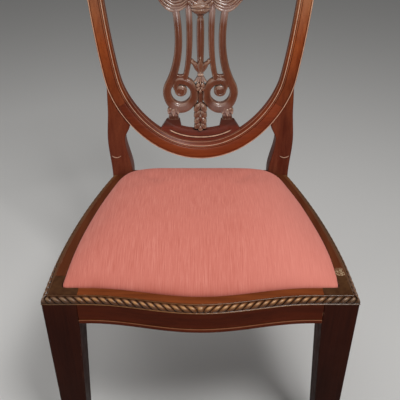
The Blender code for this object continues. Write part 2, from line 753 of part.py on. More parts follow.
def relief_depth(share):
    return SPLAT_RECESS + share * SPLAT_THICKNESS


def strip(path, half_widths, crown, relief):
    """A carved strip along a flat path, rounded across its front."""
    front = relief_depth(relief[0])
    back = relief_depth(relief[1])
    rings = []
    last = len(path) - 1
    for place, point in enumerate(path):
        along = path[min(place + 1, last)] - path[max(place - 1, 0)]
        across = Vector((-along.y, along.x)).normalized()
        half = half_widths[place]
        section = [(-1.0, crown), (-0.72, 0.3 * crown), (0.0, 0.0), (0.72, 0.3 * crown), (1.0, crown)]
        ring = []
        for share, fall in section:
            flat = point + across * (share * half)
            ring.append(on_back(flat.x, flat.y, front + fall))
        for share in (1.0, -1.0):
            flat = point + across * (share * half)
            ring.append(on_back(flat.x, flat.y, back))
        rings.append(ring)
    return loft(rings)


def turned(keys, depth_share, middle):
    """A baluster-like form on the middle line: pairs of height and half width."""
    rings = []
    for height, half in keys:
        ring = []
        for step in range(10):
            angle = 2.0 * math.pi * step / 10
            ring.append(on_back(half * math.cos(angle), height, middle + depth_share * half * math.sin(angle)))
        rings.append(ring)
    return loft(rings)


def scroll_path():
    """Outer bar and scroll of the lyre as one path, with its half widths."""
    bar = bezier([(OUTER_BAR_X + 0.002, BAR_TOP), (OUTER_BAR_X - 0.011, blend(SCROLL_Z, BAR_TOP, 0.6)),
                  (OUTER_BAR_X + 0.003, SCROLL_Z + 1.75 * SCROLL_RADIUS),
                  (SCROLL_X + SCROLL_RADIUS * math.cos(math.radians(28)),
                   SCROLL_Z + SCROLL_RADIUS * math.sin(math.radians(28)))], 12)
    path = list(bar)
    halves = [blend(BAR_HALF_WIDTH, SCROLL_BAND, ease(step / 12)) for step in range(13)]
    turn_steps = 26
    for step in range(1, turn_steps + 1):
        share = step / turn_steps
        angle = math.radians(28 - 350 * share)
        shrink = ease((share - 0.55) / 0.45)
        radius = SCROLL_RADIUS * (1.0 - 0.52 * shrink)
        path.append(Vector((SCROLL_X + radius * math.cos(angle), SCROLL_Z + radius * math.sin(angle))))
        halves.append(SCROLL_BAND * (1.0 - 0.35 * shrink))
    return path, halves


def on_side(path, side):
    return [Vector((side * point.x, point.y)) for point in path]


def scroll_shape(side):
    path, halves = scroll_path()
    return strip(on_side(path, side), halves, 0.004, SCROLL_RELIEF)


def inner_bar_shape(side):
    """Inner bar of the lyre, running from the drapery into the top of the scroll."""
    steps = 9
    path = bezier([(INNER_BAR_X + 0.001, BAR_TOP), (INNER_BAR_X - 0.005, blend(SCROLL_Z, BAR_TOP, 0.6)),
                   (INNER_BAR_X, SCROLL_Z + 1.6 * SCROLL_RADIUS),
                   (SCROLL_X - 0.006, SCROLL_Z + 0.72 * SCROLL_RADIUS)], steps)
    halves = [blend(0.92 * BAR_HALF_WIDTH, 0.75 * BAR_HALF_WIDTH, step / steps) for step in range(steps + 1)]
    return strip(on_side(path, side), halves, 0.0035, BAR_RELIEF)


def bar_web_shape(side):
    """Solid wood where the two bars run together above the scroll."""
    top = SCROLL_Z + 1.36 * SCROLL_RADIUS
    low = SCROLL_Z + 0.8 * SCROLL_RADIUS
    corners = [(INNER_BAR_X + 0.004, top), (OUTER_BAR_X + 0.006, top), (OUTER_BAR_X + 0.012, low),
               (INNER_BAR_X + 0.008, low)]
    return flat_block([(side * x, z) for x, z in corners], *[relief_depth(share) for share in WEB_RELIEF])


def scroll_eye_shape(side):
    ring = []
    for step in range(14):
        angle = 2.0 * math.pi * step / 14
        ring.append((math.cos(angle), math.sin(angle)))
    centre = (SCROLL_X + EYE_SHIFT[0], SCROLL_Z + EYE_SHIFT[1])
    rings = []
    for share, relief in ((0.55, -0.043), (0.9, 0.057), (1.0, 0.214), (1.0, 0.914)):
        reach = share * SCROLL_EYE
        depth = relief_depth(relief)
        rings.append([on_back(side * centre[0] + reach * x, centre[1] + reach * z, depth) for x, z in ring])
    return loft(rings)


def base_top(x):
    """Height of the splat base's upper edge, concentric with the shield."""
    return (SHIELD_BOTTOM + BAND_BOTTOM_WIDTH + BASE_MIDDLE_HEIGHT
            + (BASE_END_HEIGHT + 0.0005) * (x / BASE_HALF_WIDTH) ** 2)


def stem_shape():
    """Reed, leaves, bellflower and husks down the middle of the lyre."""
    foot = base_top(0.0) + CLEARANCE
    scroll_low = SCROLL_Z - SCROLL_RADIUS
    leaf = SCROLL_Z + 2.35 * SCROLL_RADIUS
    ring = SCROLL_Z + 1.32 * SCROLL_RADIUS
    husk = 0.5 * (scroll_low + 0.002 - foot)
    full = HUSK_HALF_WIDTH
    reed = REED_HALF_WIDTH
    keys = [(foot, 0.62 * full), (foot + 0.26 * husk, 0.92 * full), (foot + 0.5 * husk, full),
            (foot + 0.92 * husk, 0.58 * full), (foot + husk, 0.85 * full), (foot + 1.5 * husk, full),
            (foot + 1.92 * husk, 0.58 * full), (scroll_low + 0.006, 0.92 * full), (SCROLL_Z - 0.004, 0.96 * full),
            (SCROLL_Z + 0.70 * SCROLL_RADIUS, 0.92 * full), (ring - 0.018, 0.96 * full), (ring - 0.006, 0.86 * reed),
            (ring - 0.003, 0.94 * reed), (ring + 0.003, 0.94 * reed), (ring + 0.006, 0.71 * reed),
            (leaf - 0.016, 0.67 * LEAF_HALF_WIDTH), (leaf, LEAF_HALF_WIDTH), (leaf + 0.005, 0.97 * LEAF_HALF_WIDTH),
            (leaf + 0.012, reed), (blend(leaf, BAR_TOP, 0.5), reed), (BAR_TOP - 0.026, reed),
            (BAR_TOP - 0.019, 1.3 * reed), (BAR_TOP - 0.006, 2.5 * reed), (BAR_TOP + 0.004, 2.6 * reed)]
    return turned(keys, 0.62, SPLAT_RECESS + 0.45 * SPLAT_THICKNESS)


def scroll_foot_shape(side):
    """Leaf collar and short foot from the scroll down to the base."""
    start = Vector((SCROLL_X + 0.36 * SCROLL_RADIUS, SCROLL_Z - 0.93 * SCROLL_RADIUS))
    end = Vector((FOOT_X, base_top(FOOT_X) + FOOT_RISE))
    shares = [0.0, 0.40, 0.65]
    path = [blend(start, end, share) for share in shares] + [end + Vector((0.0, 0.003)), end]
    halves = [FOOT_NECK, 1.05 * FOOT_HALF_WIDTH, 1.1 * FOOT_HALF_WIDTH, FOOT_HALF_WIDTH, FOOT_NECK]
    return strip(on_side(path, side), halves, 0.0032, FOOT_RELIEF)


def knot_shape(side):
    """Gathered drapery over a pair of bars."""
    centre_x = 0.5 * (OUTER_BAR_X + INNER_BAR_X)
    half = 0.5 * (OUTER_BAR_X - INNER_BAR_X) + 1.25 * BAR_HALF_WIDTH
    path = []
    halves = []
    for lift, share in ((-0.010, 0.62), (-0.004, 0.98), (0.006, 1.0), (0.016, 0.80), (0.024, 0.45)):
        path.append(Vector((side * centre_x, BAR_TOP + lift)))
        halves.append(share * half)
    return strip(path, halves, 0.005, KNOT_RELIEF)


def middle_swag_shape():
    """Cloth swag hung between the two knots."""
    reach = INNER_BAR_X
    path = [Vector((reach * share, BAR_TOP + 0.001 + 0.014 * share * share))
            for share in (-1.0, -0.7, -0.35, 0.0, 0.35, 0.7, 1.0)]
    halves = [0.54 * SWAG_HALF_WIDTH * fullness for fullness in (0.64, 0.79, 0.93, 1.0, 0.93, 0.79, 0.64)]
    return strip(path, halves, 0.0028, MIDDLE_SWAG_RELIEF)


def side_swag_shape(shield, side):
    """Cloth swag that rises from a knot to the crest."""
    length = shield.length_at_height(CREST_HEIGHT - SWAG_FALL)
    edge, inward = shield.edge(length)
    hang = edge + inward * (shield.width(length) + 2 * CLEARANCE)
    start = Vector((0.5 * (OUTER_BAR_X + INNER_BAR_X) + 0.008, BAR_TOP + 0.006))
    path = bezier([start, start + Vector((0.022, -0.007)), blend(start, hang, 0.42),
                   hang + inward * 0.016, hang + inward * 0.006], 9)
    path.append(hang)
    fullness = (0.54, 0.69, 0.85, 0.96, 1.0, 0.96, 0.88, 0.77, 0.68, 0.62, 0.60)
    halves = [SWAG_HALF_WIDTH * share for share in fullness]
    return strip(on_side(path, side), halves, 0.0042, SIDE_SWAG_RELIEF)


def crest_inner_height():
    return CREST_HEIGHT - CREST_WIDTH


def urn_shape():
    """Urn on the middle swag, with a finial up to the crest."""
    foot = BAR_TOP + 0.003
    rise = crest_inner_height() - 2 * CLEARANCE - foot
    profile = [(0.0, 0.64), (0.05, 0.64), (0.09, 0.26), (0.17, 0.21), (0.22, 0.51), (0.34, 0.85), (0.50, 1.0),
               (0.60, 0.96), (0.635, 0.72), (0.66, 0.79), (0.70, 0.79), (0.76, 0.47), (0.83, 0.19),
               (0.90, 0.32), (0.95, 0.26), (1.0, 0.28)]
    keys = [(foot + rise * lift, URN_HALF_WIDTH * swell) for lift, swell in profile]
    return turned(keys, 0.42, SPLAT_RECESS + 0.42 * SPLAT_THICKNESS)


def splat_top_tenon(grow):
    low = crest_inner_height() - TENON_ROOT
    high = crest_inner_height() + SPLAT_TENON_LENGTH + grow
    half = SPLAT_TENON_HALF_WIDTH + grow
    corners = [(-half, low), (half, low), (half, high), (-half, high)]
    front, back = TOP_TENON_RELIEF
    return flat_block(corners, relief_depth(front) - grow, relief_depth(back) + grow)


def splat_foot_tenons(grow):
    """Tenons of the stem and the two feet into the splat base."""
    half = SPLAT_TENON_HALF_WIDTH + grow
    front, back = FOOT_TENON_RELIEF
    tenons = []
    for middle, seat in ((0.0, 0.0), (FOOT_X, FOOT_RISE), (-FOOT_X, FOOT_RISE)):
        top = base_top(middle) + seat + TENON_ROOT
        low = base_top(middle) + seat - SPLAT_TENON_LENGTH - grow
        corners = [(middle - half, low), (middle + half, low), (middle + half, top), (middle - half, top)]
        tenons.append(flat_block(corners, relief_depth(front) - grow, relief_depth(back) + grow))
    return tenons


def add_splat(shield, chair, wood):
    """Pierced lyre splat, carved from one board."""
    points, faces = stem_shape()
    splat = add_object("lyre_splat", points, faces, chair, wood)
    shapes = [middle_swag_shape(), urn_shape(), splat_top_tenon(0.0)] + splat_foot_tenons(0.0)
    for side in (1, -1):
        shapes += [scroll_shape(side), inner_bar_shape(side), bar_web_shape(side), scroll_eye_shape(side),
                   scroll_foot_shape(side), knot_shape(side), side_swag_shape(shield, side)]
    fuse(splat, shapes)
    return splat


def add_splat_base(shield, chair, wood):
    """Curved segment on the lower rail that carries the lyre, with a flute along its face."""
    rings = []
    for x in steps_between(-BASE_HALF_WIDTH, BASE_HALF_WIDTH, 16):
        reach = abs(x) / BASE_HALF_WIDTH
        low = inner_height(shield, abs(x)) + CLEARANCE
        high = base_top(x)
        lean = BASE_END_SLOPE * reach ** 2 / BASE_HALF_WIDTH
        flute = blend(low, high, 0.42)
        section = [(low, BASE_RECESS + 0.001), (flute - 0.0035, BASE_RECESS), (flute, BASE_RECESS + 0.0016),
                   (flute + 0.0035, BASE_RECESS), (high - 0.002, BASE_RECESS), (high, BASE_RECESS + 0.002),
                   (high, BASE_RECESS + BASE_THICKNESS), (low, BASE_RECESS + BASE_THICKNESS)]
        rings.append([on_back(x * (1.0 - lean * (height - low)), height, depth) for height, depth in section])
    points, faces = loft(rings)
    base = add_object("splat_base", points, faces, chair, wood)
    fuse(base, [base_foot(shield, 1), base_foot(shield, -1)])
    cut(base, splat_foot_tenons(CLEARANCE))
    return base


def inner_height(shield, x):
    """Height of the band's inner edge at a place across the lower rail."""
    before = Vector((0.0, SHIELD_BOTTOM + BAND_BOTTOM_WIDTH))
    for length in steps_between(0.0, shield.lower_joint, 120):
        point, inward = shield.edge(length)
        after = point + inward * shield.width(length)
        if after.x >= x > before.x:
            return blend(before.y, after.y, (x - before.x) / (after.x - before.x))
        before = after
    return SHIELD_BOTTOM + BAND_BOTTOM_WIDTH


def base_foot(shield, side):
    """Flared block on the base under a scroll's foot."""
    end_low = inner_height(shield, BASE_HALF_WIDTH)
    top = base_top(FOOT_X) + FOOT_RISE - CLEARANCE
    low = base_top(FOOT_X) - 0.5 * FOOT_RISE
    end_x = [BASE_HALF_WIDTH - BASE_END_SLOPE * (height - end_low) for height in (low, top)]
    corners = [(FOOT_X - 1.3 * FOOT_HALF_WIDTH, low), (end_x[0] - 0.003, low),
               (end_x[1] - 0.001, top), (FOOT_X - FOOT_HALF_WIDTH, top)]
    return flat_block([(side * x, z) for x, z in corners], BASE_RECESS + 0.0006, BASE_RECESS + 0.0112)


# Rope edge

def rope_section():
    """Section of the rope moulding: distance out from the rail's face, and share of its height."""
    inside = -ROPE_SEAT + CLEARANCE
    edge = inside + ROPE_BEAD
    bead = ROPE_BEAD / ROPE_HEIGHT
    section = [(inside, 1.0), (inside, 0.0), (ROPE_PROUD, 0.0), (ROPE_PROUD, bead)]
    for angle in (30, 60):
        turn = math.radians(angle)
        section.append((blend(edge, ROPE_PROUD, math.cos(turn) ** 0.8), blend(bead, 1.0, math.sin(turn) ** 0.8)))
    return section + [(edge, 1.0)]


def rope_level(share):
    low = SEAT_HEIGHT - ROPE_HEIGHT + CLEARANCE
    return blend(low, SEAT_HEIGHT, share)


def rope_ring(point_at, length, valley):
    """One ring of the rope, sheared along the edge so that the lobes lie aslant."""
    section = rope_section()
    inside = section[0][0]
    ring = []
    for number, (out, share) in enumerate(section):
        shear = 0.0
        if number in (4, 5):
            shear = (share - 0.75) * 1.6 * ROPE_HEIGHT
            out -= ROPE_VALLEY * (out - inside) if valley else 0.0
            share -= ROPE_VALLEY * share if valley else 0.0
        ring.append(point_at(length + shear, out, rope_level(share)))
    return ring


def rope_lengths(total):
    """Ring places along an edge: a crest and a valley for each lobe, plain at the ends."""
    margin = 1.4 * ROPE_SEAT
    lobes = max(int((total - 2 * margin) / ROPE_PITCH), 1)
    pitch = (total - 2 * margin) / lobes
    places = [(0.0, False)]
    for lobe in range(lobes):
        places.append((margin + pitch * (lobe + 0.05), True))
        places.append((margin + pitch * (lobe + 0.5), False))
    places.append((total - margin, True))
    places.append((total, False))
    return places


def plain_ring(point_at, length, mitre):
    """End ring of a rope moulding, square or cut to the corner's mitre."""
    return [point_at(length, out, rope_level(share), mitre) for out, share in rope_section()]


def front_rope_point(side):

    def point_at(length, out, height, mitre=0.0):
        x = length + mitre * (out - MITRE_GAP)
        return (side * x, front_y(min(x, FRONT_HALF_WIDTH)) - out, height)

    return point_at


def side_rope_point(side):

    def point_at(length, out, height, mitre=0.0):
        depth = length - mitre * (out - MITRE_GAP)
        return (side * (side_x(max(depth, 0.0)) + out), depth, height)

    return point_at


def add_rope_front(chair, wood):
    """Front rope, its lobes turning outwards from the middle."""
    halves = {}
    for side in (1, -1):
        point_at = front_rope_point(side)
        rows = rope_lengths(FRONT_HALF_WIDTH)[1:-1]
        halves[side] = [rope_ring(point_at, length, valley) for length, valley in rows]
        halves[side].append(plain_ring(point_at, FRONT_HALF_WIDTH, 1.0))
    middle = plain_ring(front_rope_point(1), 0.0, 0.0)
    rings = halves[-1][::-1] + [middle] + halves[1]
    points, faces = loft(rings)
    return add_object("rope_moulding_front", points, faces, chair, wood)


def add_rope_side(name, side, chair, wood):
    """Side rope, from the mitre at the front leg back to the post."""
    end = POST_FACE - 2 * CLEARANCE
    point_at = side_rope_point(side)
    rings = [plain_ring(point_at, 0.0, 1.0)]
    rings += [rope_ring(point_at, length, valley) for length, valley in rope_lengths(end)[1:-1]]
    rings.append(plain_ring(point_at, end, 0.0))
    points, faces = loft(rings)
    return add_object(name, points, faces, chair, wood)


# Corner blocks and screws

def front_block_outline():
    """Right front block: it fits the leg's inner corner and both rails."""
    leg_face = FRONT_HALF_WIDTH - FRONT_LEG_TOP - CLEARANCE
    leg_back = FRONT_LEG_TOP + CLEARANCE
    along_front = [(x, front_y(x) + RAIL_THICKNESS + CLEARANCE)
                   for x in steps_between(leg_face, leg_face - BLOCK_REACH, 5)]
    along_side = [(side_x(depth) - RAIL_THICKNESS - CLEARANCE, depth)
                  for depth in steps_between(leg_back + BLOCK_REACH, leg_back, 3)]
    return along_front + along_side + [(leg_face, leg_back)]


def rear_block_outline():
    """Right rear block: it fits the side rail and the face of the rear rail."""
    face = REAR_RAIL_FACE - CLEARANCE
    along_side = [(side_x(depth) - RAIL_THICKNESS - CLEARANCE, depth)
                  for depth in steps_between(face, face - BLOCK_REACH, 3)]
    corner = along_side[0][0]
    return along_side + [(corner - 1.25 * BLOCK_REACH, face)]


def hypotenuse(outline, first, last, share):
    return blend(Vector(outline[first]), Vector(outline[last]), share)


def screw_height():
    return 0.5 * (RAIL_BOTTOM + LEDGE)


def front_screws():
    """Head place and direction of each screw into the front rail."""
    outline = front_block_outline()
    point = hypotenuse(outline, 5, 6, 0.42)
    return [(Vector((side * point.x, point.y - SCREW_SINK, screw_height())), Vector((0, -1, 0)))
            for side in (1, -1)]


def rear_screws():
    """Head place and direction of each screw into the rear rail."""
    point = hypotenuse(rear_block_outline(), 3, 4, 0.62)
    return [(Vector((side * point.x, point.y + SCREW_SINK, screw_height())), Vector((0, 1, 0)))
            for side in (1, -1)]


def side_screws(side):
    """Head place and direction of the two screws into a side rail."""
    front = hypotenuse(front_block_outline(), 5, 6, 0.66)
    rear = hypotenuse(rear_block_outline(), 3, 4, 0.30)
    return [(Vector((side * (point.x + SCREW_SINK), point.y, screw_height())), Vector((side, 0, 0)))
            for point in (front, rear)]


def round_bar(start, along, stations):
    """A turned bar: stations are pairs of distance and radius along its axis."""
    up = Vector((0.0, 0.0, 1.0))
    across = along.cross(up)
    rings = []
    for distance, radius in stations:
        ring = []
        for step in range(8):
            angle = 2.0 * math.pi * (step + 0.5) / 8
            ring.append(start + along * distance + (across * math.cos(angle) + up * math.sin(angle)) * radius)
        rings.append(ring)
    return loft(rings)


def screw_shape(start, along):
    return round_bar(start, along, [(0.0, SCREW_HEAD_RADIUS), (0.3 * SCREW_HEAD_HEIGHT, SCREW_HEAD_RADIUS),
                                    (SCREW_HEAD_HEIGHT, SCREW_RADIUS), (0.88 * SCREW_LENGTH, SCREW_RADIUS),
                                    (SCREW_LENGTH, 0.3 * SCREW_RADIUS)])


def screw_hole(start, along):
    """Clearance for a screw, open towards the face that it is driven from."""
    head = SCREW_HEAD_RADIUS + CLEARANCE
    shank = SCREW_RADIUS + CLEARANCE
    return round_bar(start, along, [(-0.6 * BLOCK_REACH, head), (0.3 * SCREW_HEAD_HEIGHT + CLEARANCE, head),
                                    (SCREW_HEAD_HEIGHT + CLEARANCE, shank),
                                    (SCREW_LENGTH + CLEARANCE, shank)])


def add_corner_block(name, outline, side, screws, chair, wood):
    points, faces = prism(outline, RAIL_BOTTOM + BLOCK_MARGIN, LEDGE - BLOCK_MARGIN)
    block = add_object(name, mirrored(points, side), faces, chair, wood)
    cut(block, [screw_hole(start, along) for start, along in screws])
    return block


def add_blocks_and_screws(chair, wood, steel):
    for place, side in (("left", -1), ("right", 1)):
        at_side = side_screws(side)
        at_front = front_screws()[0 if side > 0 else 1]
        at_rear = rear_screws()[0 if side > 0 else 1]
        add_corner_block(f"corner_block_front_{place}", front_block_outline(), side, [at_front, at_side[0]],
                         chair, wood)
        add_corner_block(f"corner_block_rear_{place}", rear_block_outline(), side, [at_rear, at_side[1]],
                         chair, wood)
        named = (("front_rail", at_front), ("side_rail_front", at_side[0]), ("rear_rail", at_rear),
                 ("side_rail_rear", at_side[1]))
        for rail, (start, along) in named:
            points, faces = screw_shape(start, along)
            add_object(f"block_screw_{rail}_{place}", points, faces, chair, steel)


# Drop-in seat

def frame_front_outline():
    inner = [(x, front_y(x) + FRAME_FRONT_DEPTH)
             for x in steps_between(0.0, side_x(FRAME_FRONT_DEPTH) - FRAME_INSET - 0.02, 8)]
    half = front_edge(FRAME_INSET, 10) + front_corner(FRAME_INSET)
    half.append((side_x(FRAME_FRONT_DEPTH) - FRAME_INSET, FRAME_FRONT_DEPTH))
    return both_sides(half + inner[::-1])


def frame_rear_outline():
    corner = rear_corner(FRAME_INSET)
    edge = (side_x(FRAME_REAR_DEPTH) - FRAME_INSET, FRAME_REAR_DEPTH)
    half = [(0.0, FRAME_REAR_DEPTH), edge] + corner[1:] + [(0.0, FRAME_REAR)]
    return both_sides(half)


def frame_side_outline():
    start = FRAME_FRONT_DEPTH + CLEARANCE
    end = FRAME_REAR_DEPTH - CLEARANCE
    outer = side_edge(FRAME_INSET, start, end, 8)
    return outer + [(x - FRAME_WIDTH, depth) for x, depth in reversed(outer)]


def frame_tenons(side, grow):
    """Tenons of a side member into the front and rear members."""
    middle = 0.5 * (FRAME_BOTTOM + FRAME_TOP)
    half_height = FRAME_THICKNESS / 6 + grow
    half_width = 0.25 * FRAME_WIDTH + grow
    tenons = []
    for depth, direction in ((FRAME_FRONT_DEPTH, -1), (FRAME_REAR_DEPTH, 1)):
        centre = side_x(depth) - FRAME_INSET - 0.5 * FRAME_WIDTH
        ends = sorted((depth - direction * TENON_ROOT, depth + direction * (FRAME_TENON + grow)))
        points, faces = box((centre - half_width, ends[0], middle - half_height),
                            (centre + half_width, ends[1], middle + half_height))
        tenons.append((mirrored(points, side), faces))
    return tenons


def add_seat_frame(seat, wood):
    mortises = frame_tenons(1, CLEARANCE) + frame_tenons(-1, CLEARANCE)
    for name, outline, chosen in (("seat_frame_front", frame_front_outline(), (0, 2)),
                                  ("seat_frame_rear", frame_rear_outline(), (1, 3))):
        points, faces = prism(outline, FRAME_BOTTOM, FRAME_TOP)
        member = add_object(name, points, faces, seat, wood)
        cut(member, [mortises[number] for number in chosen])
    for name, side in (("seat_frame_left", -1), ("seat_frame_right", 1)):
        points, faces = prism(frame_side_outline(), FRAME_BOTTOM, FRAME_TOP)
        member = add_object(name, mirrored(points, side), faces, seat, wood)
        fuse(member, frame_tenons(side, 0.0))


def strap_levels(crossings, start, end, first_sign):
    """Places along a strap with its height: flat over each crossing, over and under in turn."""
    half = 0.5 * STRAP_WIDTH + 0.001
    rows = [(start, STRAP_MIDDLE - STRAP_LIFT)]
    for number, crossing in enumerate(crossings):
        level = STRAP_MIDDLE + STRAP_LIFT * first_sign * (-1) ** number
        rows.append((crossing - half, level))
        rows.append((crossing + half, level))
    rows.append((end, STRAP_MIDDLE - STRAP_LIFT))
    return rows


def add_straps(seat, jute):
    """Interlaced webbing, three straps each way, on top of the seat frame."""
    half = 0.5 * STRAP_WIDTH
    thick = 0.5 * STRAP_THICKNESS
    across = [-STRAP_PITCH_ACROSS, 0.0, STRAP_PITCH_ACROSS]
    along = [SEAT_MIDDLE - STRAP_PITCH_ALONG, SEAT_MIDDLE, SEAT_MIDDLE + STRAP_PITCH_ALONG]
    for number, x in enumerate(across):
        start = front_y(0.0) + FRAME_INSET + STRAP_END_MARGIN + abs(front_y(0.0) - front_y(abs(x) + half))
        rows = strap_levels(along, start, FRAME_REAR - STRAP_END_MARGIN, (-1) ** number)
        rings = [[(x - half, depth, level - thick), (x + half, depth, level - thick),
                  (x + half, depth, level + thick), (x - half, depth, level + thick)] for depth, level in rows]
        points, faces = loft(rings)
        add_object(f"webbing_lengthwise_{number + 1}", points, faces, seat, jute)
    for number, depth in enumerate(along):
        reach = side_x(depth + half) - FRAME_INSET - STRAP_END_MARGIN
        rows = strap_levels(across, -reach, reach, -(-1) ** number)
        rings = [[(x, depth - half, level - thick), (x, depth + half, level - thick),
                  (x, depth + half, level + thick), (x, depth - half, level + thick)] for x, level in rows]
        points, faces = loft(rings)
        add_object(f"webbing_crosswise_{number + 1}", points, faces, seat, jute)


def crown(share, depth):
    """Rise of the dome at a share of the way out from its middle towards an edge at a depth."""
    back = ease((depth + SERPENTINE_RISE) / (WELL_REAR + SERPENTINE_RISE))
    spread = blend(FRONT_ROLL[0], REAR_ROLL[0], back)
    power = blend(FRONT_ROLL[1], REAR_ROLL[1], back)
    return CROWN * (1.0 - share ** spread) ** power


def seat_ring(inset, share, height):
    """A level ring, at a share of the way out to the seat's outline."""
    centre = Vector((0.0, SEAT_MIDDLE))
    flat = [blend(centre, Vector(point), share) for point in seat_outline(inset)]
    return [(point.x, point.y, height) for point in flat]


def crown_rings(inset, lift, shares=CROWN_SHARES):
    """Rings of the dome, from its edge in."""
    outline = seat_outline(inset)
    rings = []
    for share in shares:
        level = seat_ring(inset, share, FRAME_TOP + lift)
        rings.append([(x, y, z + crown(share, edge[1])) for (x, y, z), edge in zip(level, outline)])
    return rings


def add_padding(seat, jute):
    rings = [seat_ring(FRAME_INSET, PAD_SHARES[0], PAD_BOTTOM)]
    rings += crown_rings(FRAME_INSET, -CLEARANCE, PAD_SHARES)
    low = Vector((0.0, SEAT_MIDDLE, PAD_BOTTOM))
    high = Vector((0.0, SEAT_MIDDLE, FRAME_TOP - CLEARANCE + CROWN))
    points, faces = dome(rings, low, high)
    return add_object("seat_padding", points, faces, seat, jute)


def add_cover(seat, cloth):
    """Fabric over the padding and the frame's edge, turned under and open below."""
    inner = FRAME_INSET - CLEARANCE
    outer = inner - COVER_THICKNESS
    turn_top = FRAME_BOTTOM - CLEARANCE
    turn_bottom = turn_top - COVER_THICKNESS
    inner_lift = CLEARANCE
    outer_lift = inner_lift + COVER_THICKNESS
    rings = crown_rings(inner, inner_lift)[::-1]
    rings.append(seat_ring(inner, 1.0, turn_top))
    rings.append([(x, y, turn_top) for x, y in seat_outline(FRAME_INSET + COVER_TURN)])
    rings.append([(x, y, turn_bottom) for x, y in seat_outline(FRAME_INSET + COVER_TURN)])
    rings.append(seat_ring(outer, 1.0, turn_bottom))
    rings += crown_rings(outer, outer_lift)
    peak = Vector((0.0, SEAT_MIDDLE, FRAME_TOP + CROWN))
    points, faces = dome(rings, peak + Vector((0.0, 0.0, inner_lift)), peak + Vector((0.0, 0.0, outer_lift)))
    return add_object("seat_cover", points, faces, seat, cloth)


def add_hessian(seat, jute):
    outline = seat_outline(FRAME_INSET + HESSIAN_MARGIN)
    points, faces = prism(outline, HESSIAN_BOTTOM, HESSIAN_BOTTOM + HESSIAN_THICKNESS)
    return add_object("hessian", points, faces, seat, jute)


def add_dust_cover(seat, cloth):
    """Thin dark cloth across the underside, edge to edge with the cover's turned edge."""
    outline = seat_outline(FRAME_INSET + COVER_TURN + CLEARANCE)
    high = FRAME_BOTTOM - CLEARANCE
    points, faces = prism(outline, high - DUST_COVER_THICKNESS, high)
    return add_object("dust_cover", points, faces, seat, cloth)


# Assembly

def add_frame(chair):
    shield = Shield()
    shield_wood = make_material("shield_mahogany", SHIELD_WOOD, 0.32)
    frame_wood = make_material("frame_mahogany", FRAME_WOOD, 0.38)
    splat_wood = make_material("splat_mahogany", SPLAT_WOOD, 0.36)
    rope_wood = make_material("rope_mahogany", ROPE_WOOD, 0.42)
    beech = make_material("block_beech", PALE_WOOD, 0.6)
    steel = make_material("screw_steel", STEEL, 0.35, 1.0)
    for place, side in (("left", -1), ("right", 1)):
        add_front_leg(f"front_leg_{place}", side, chair, frame_wood)
        add_side_rail(f"side_rail_{place}", side, chair, frame_wood)
        add_post(f"rear_post_{place}", side, shield, chair, shield_wood)
        add_rope_side(f"rope_moulding_{place}", side, chair, rope_wood)
    add_front_rail(chair, frame_wood)
    add_rear_rail(chair, frame_wood)
    add_lower_rail(shield, chair, shield_wood)
    add_crest_rail(shield, chair, shield_wood)
    add_splat(shield, chair, splat_wood)
    add_splat_base(shield, chair, splat_wood)
    add_rope_front(chair, rope_wood)
    add_blocks_and_screws(chair, beech, steel)


def add_drop_in_seat(seat):
    beech = make_material("seat_frame_beech", PALE_WOOD, 0.6)
    jute = make_material("jute", JUTE, 0.9)
    cloth = make_material("salmon_cloth", SALMON_CLOTH, 0.8)
    dark = make_material("dust_cloth", DARK_CLOTH, 0.95)
    add_seat_frame(seat, beech)
    add_straps(seat, jute)
    add_hessian(seat, jute)
    add_padding(seat, jute)
    add_cover(seat, cloth)
    add_dust_cover(seat, dark)


def origin_depth():
    """Depth of the middle of the chair, from the front of its rail to the back of the crest."""
    front = -SERPENTINE_RISE - max(ROPE_PROUD, RAIL_BEAD_PROUD)
    crest_back = back_y(CREST_HEIGHT - 0.005) + BAND_DEPTH
    foot_back = back_y(0.0) + STILE_RECESS + REAR_FOOT_DEPTH
    return 0.5 * (front + max(crest_back, foot_back))


def main():
    clear_scene()
    chair = make_empty("chair", (0.0, -origin_depth(), 0.0))
    seat = make_empty("drop_in_seat", (0.0, SEAT_MIDDLE, LEDGE), chair)
    add_frame(chair)
    add_drop_in_seat(seat)


main()
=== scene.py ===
"""Looks of the shield back chair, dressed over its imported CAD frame.

Metres, +Z up, the front of the chair towards -Y. The functions count depth
backwards from the front face of the front legs, as the solids do.
"""

import json
import math

import bmesh
import bpy
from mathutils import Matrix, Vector
from mathutils.kdtree import KDTree

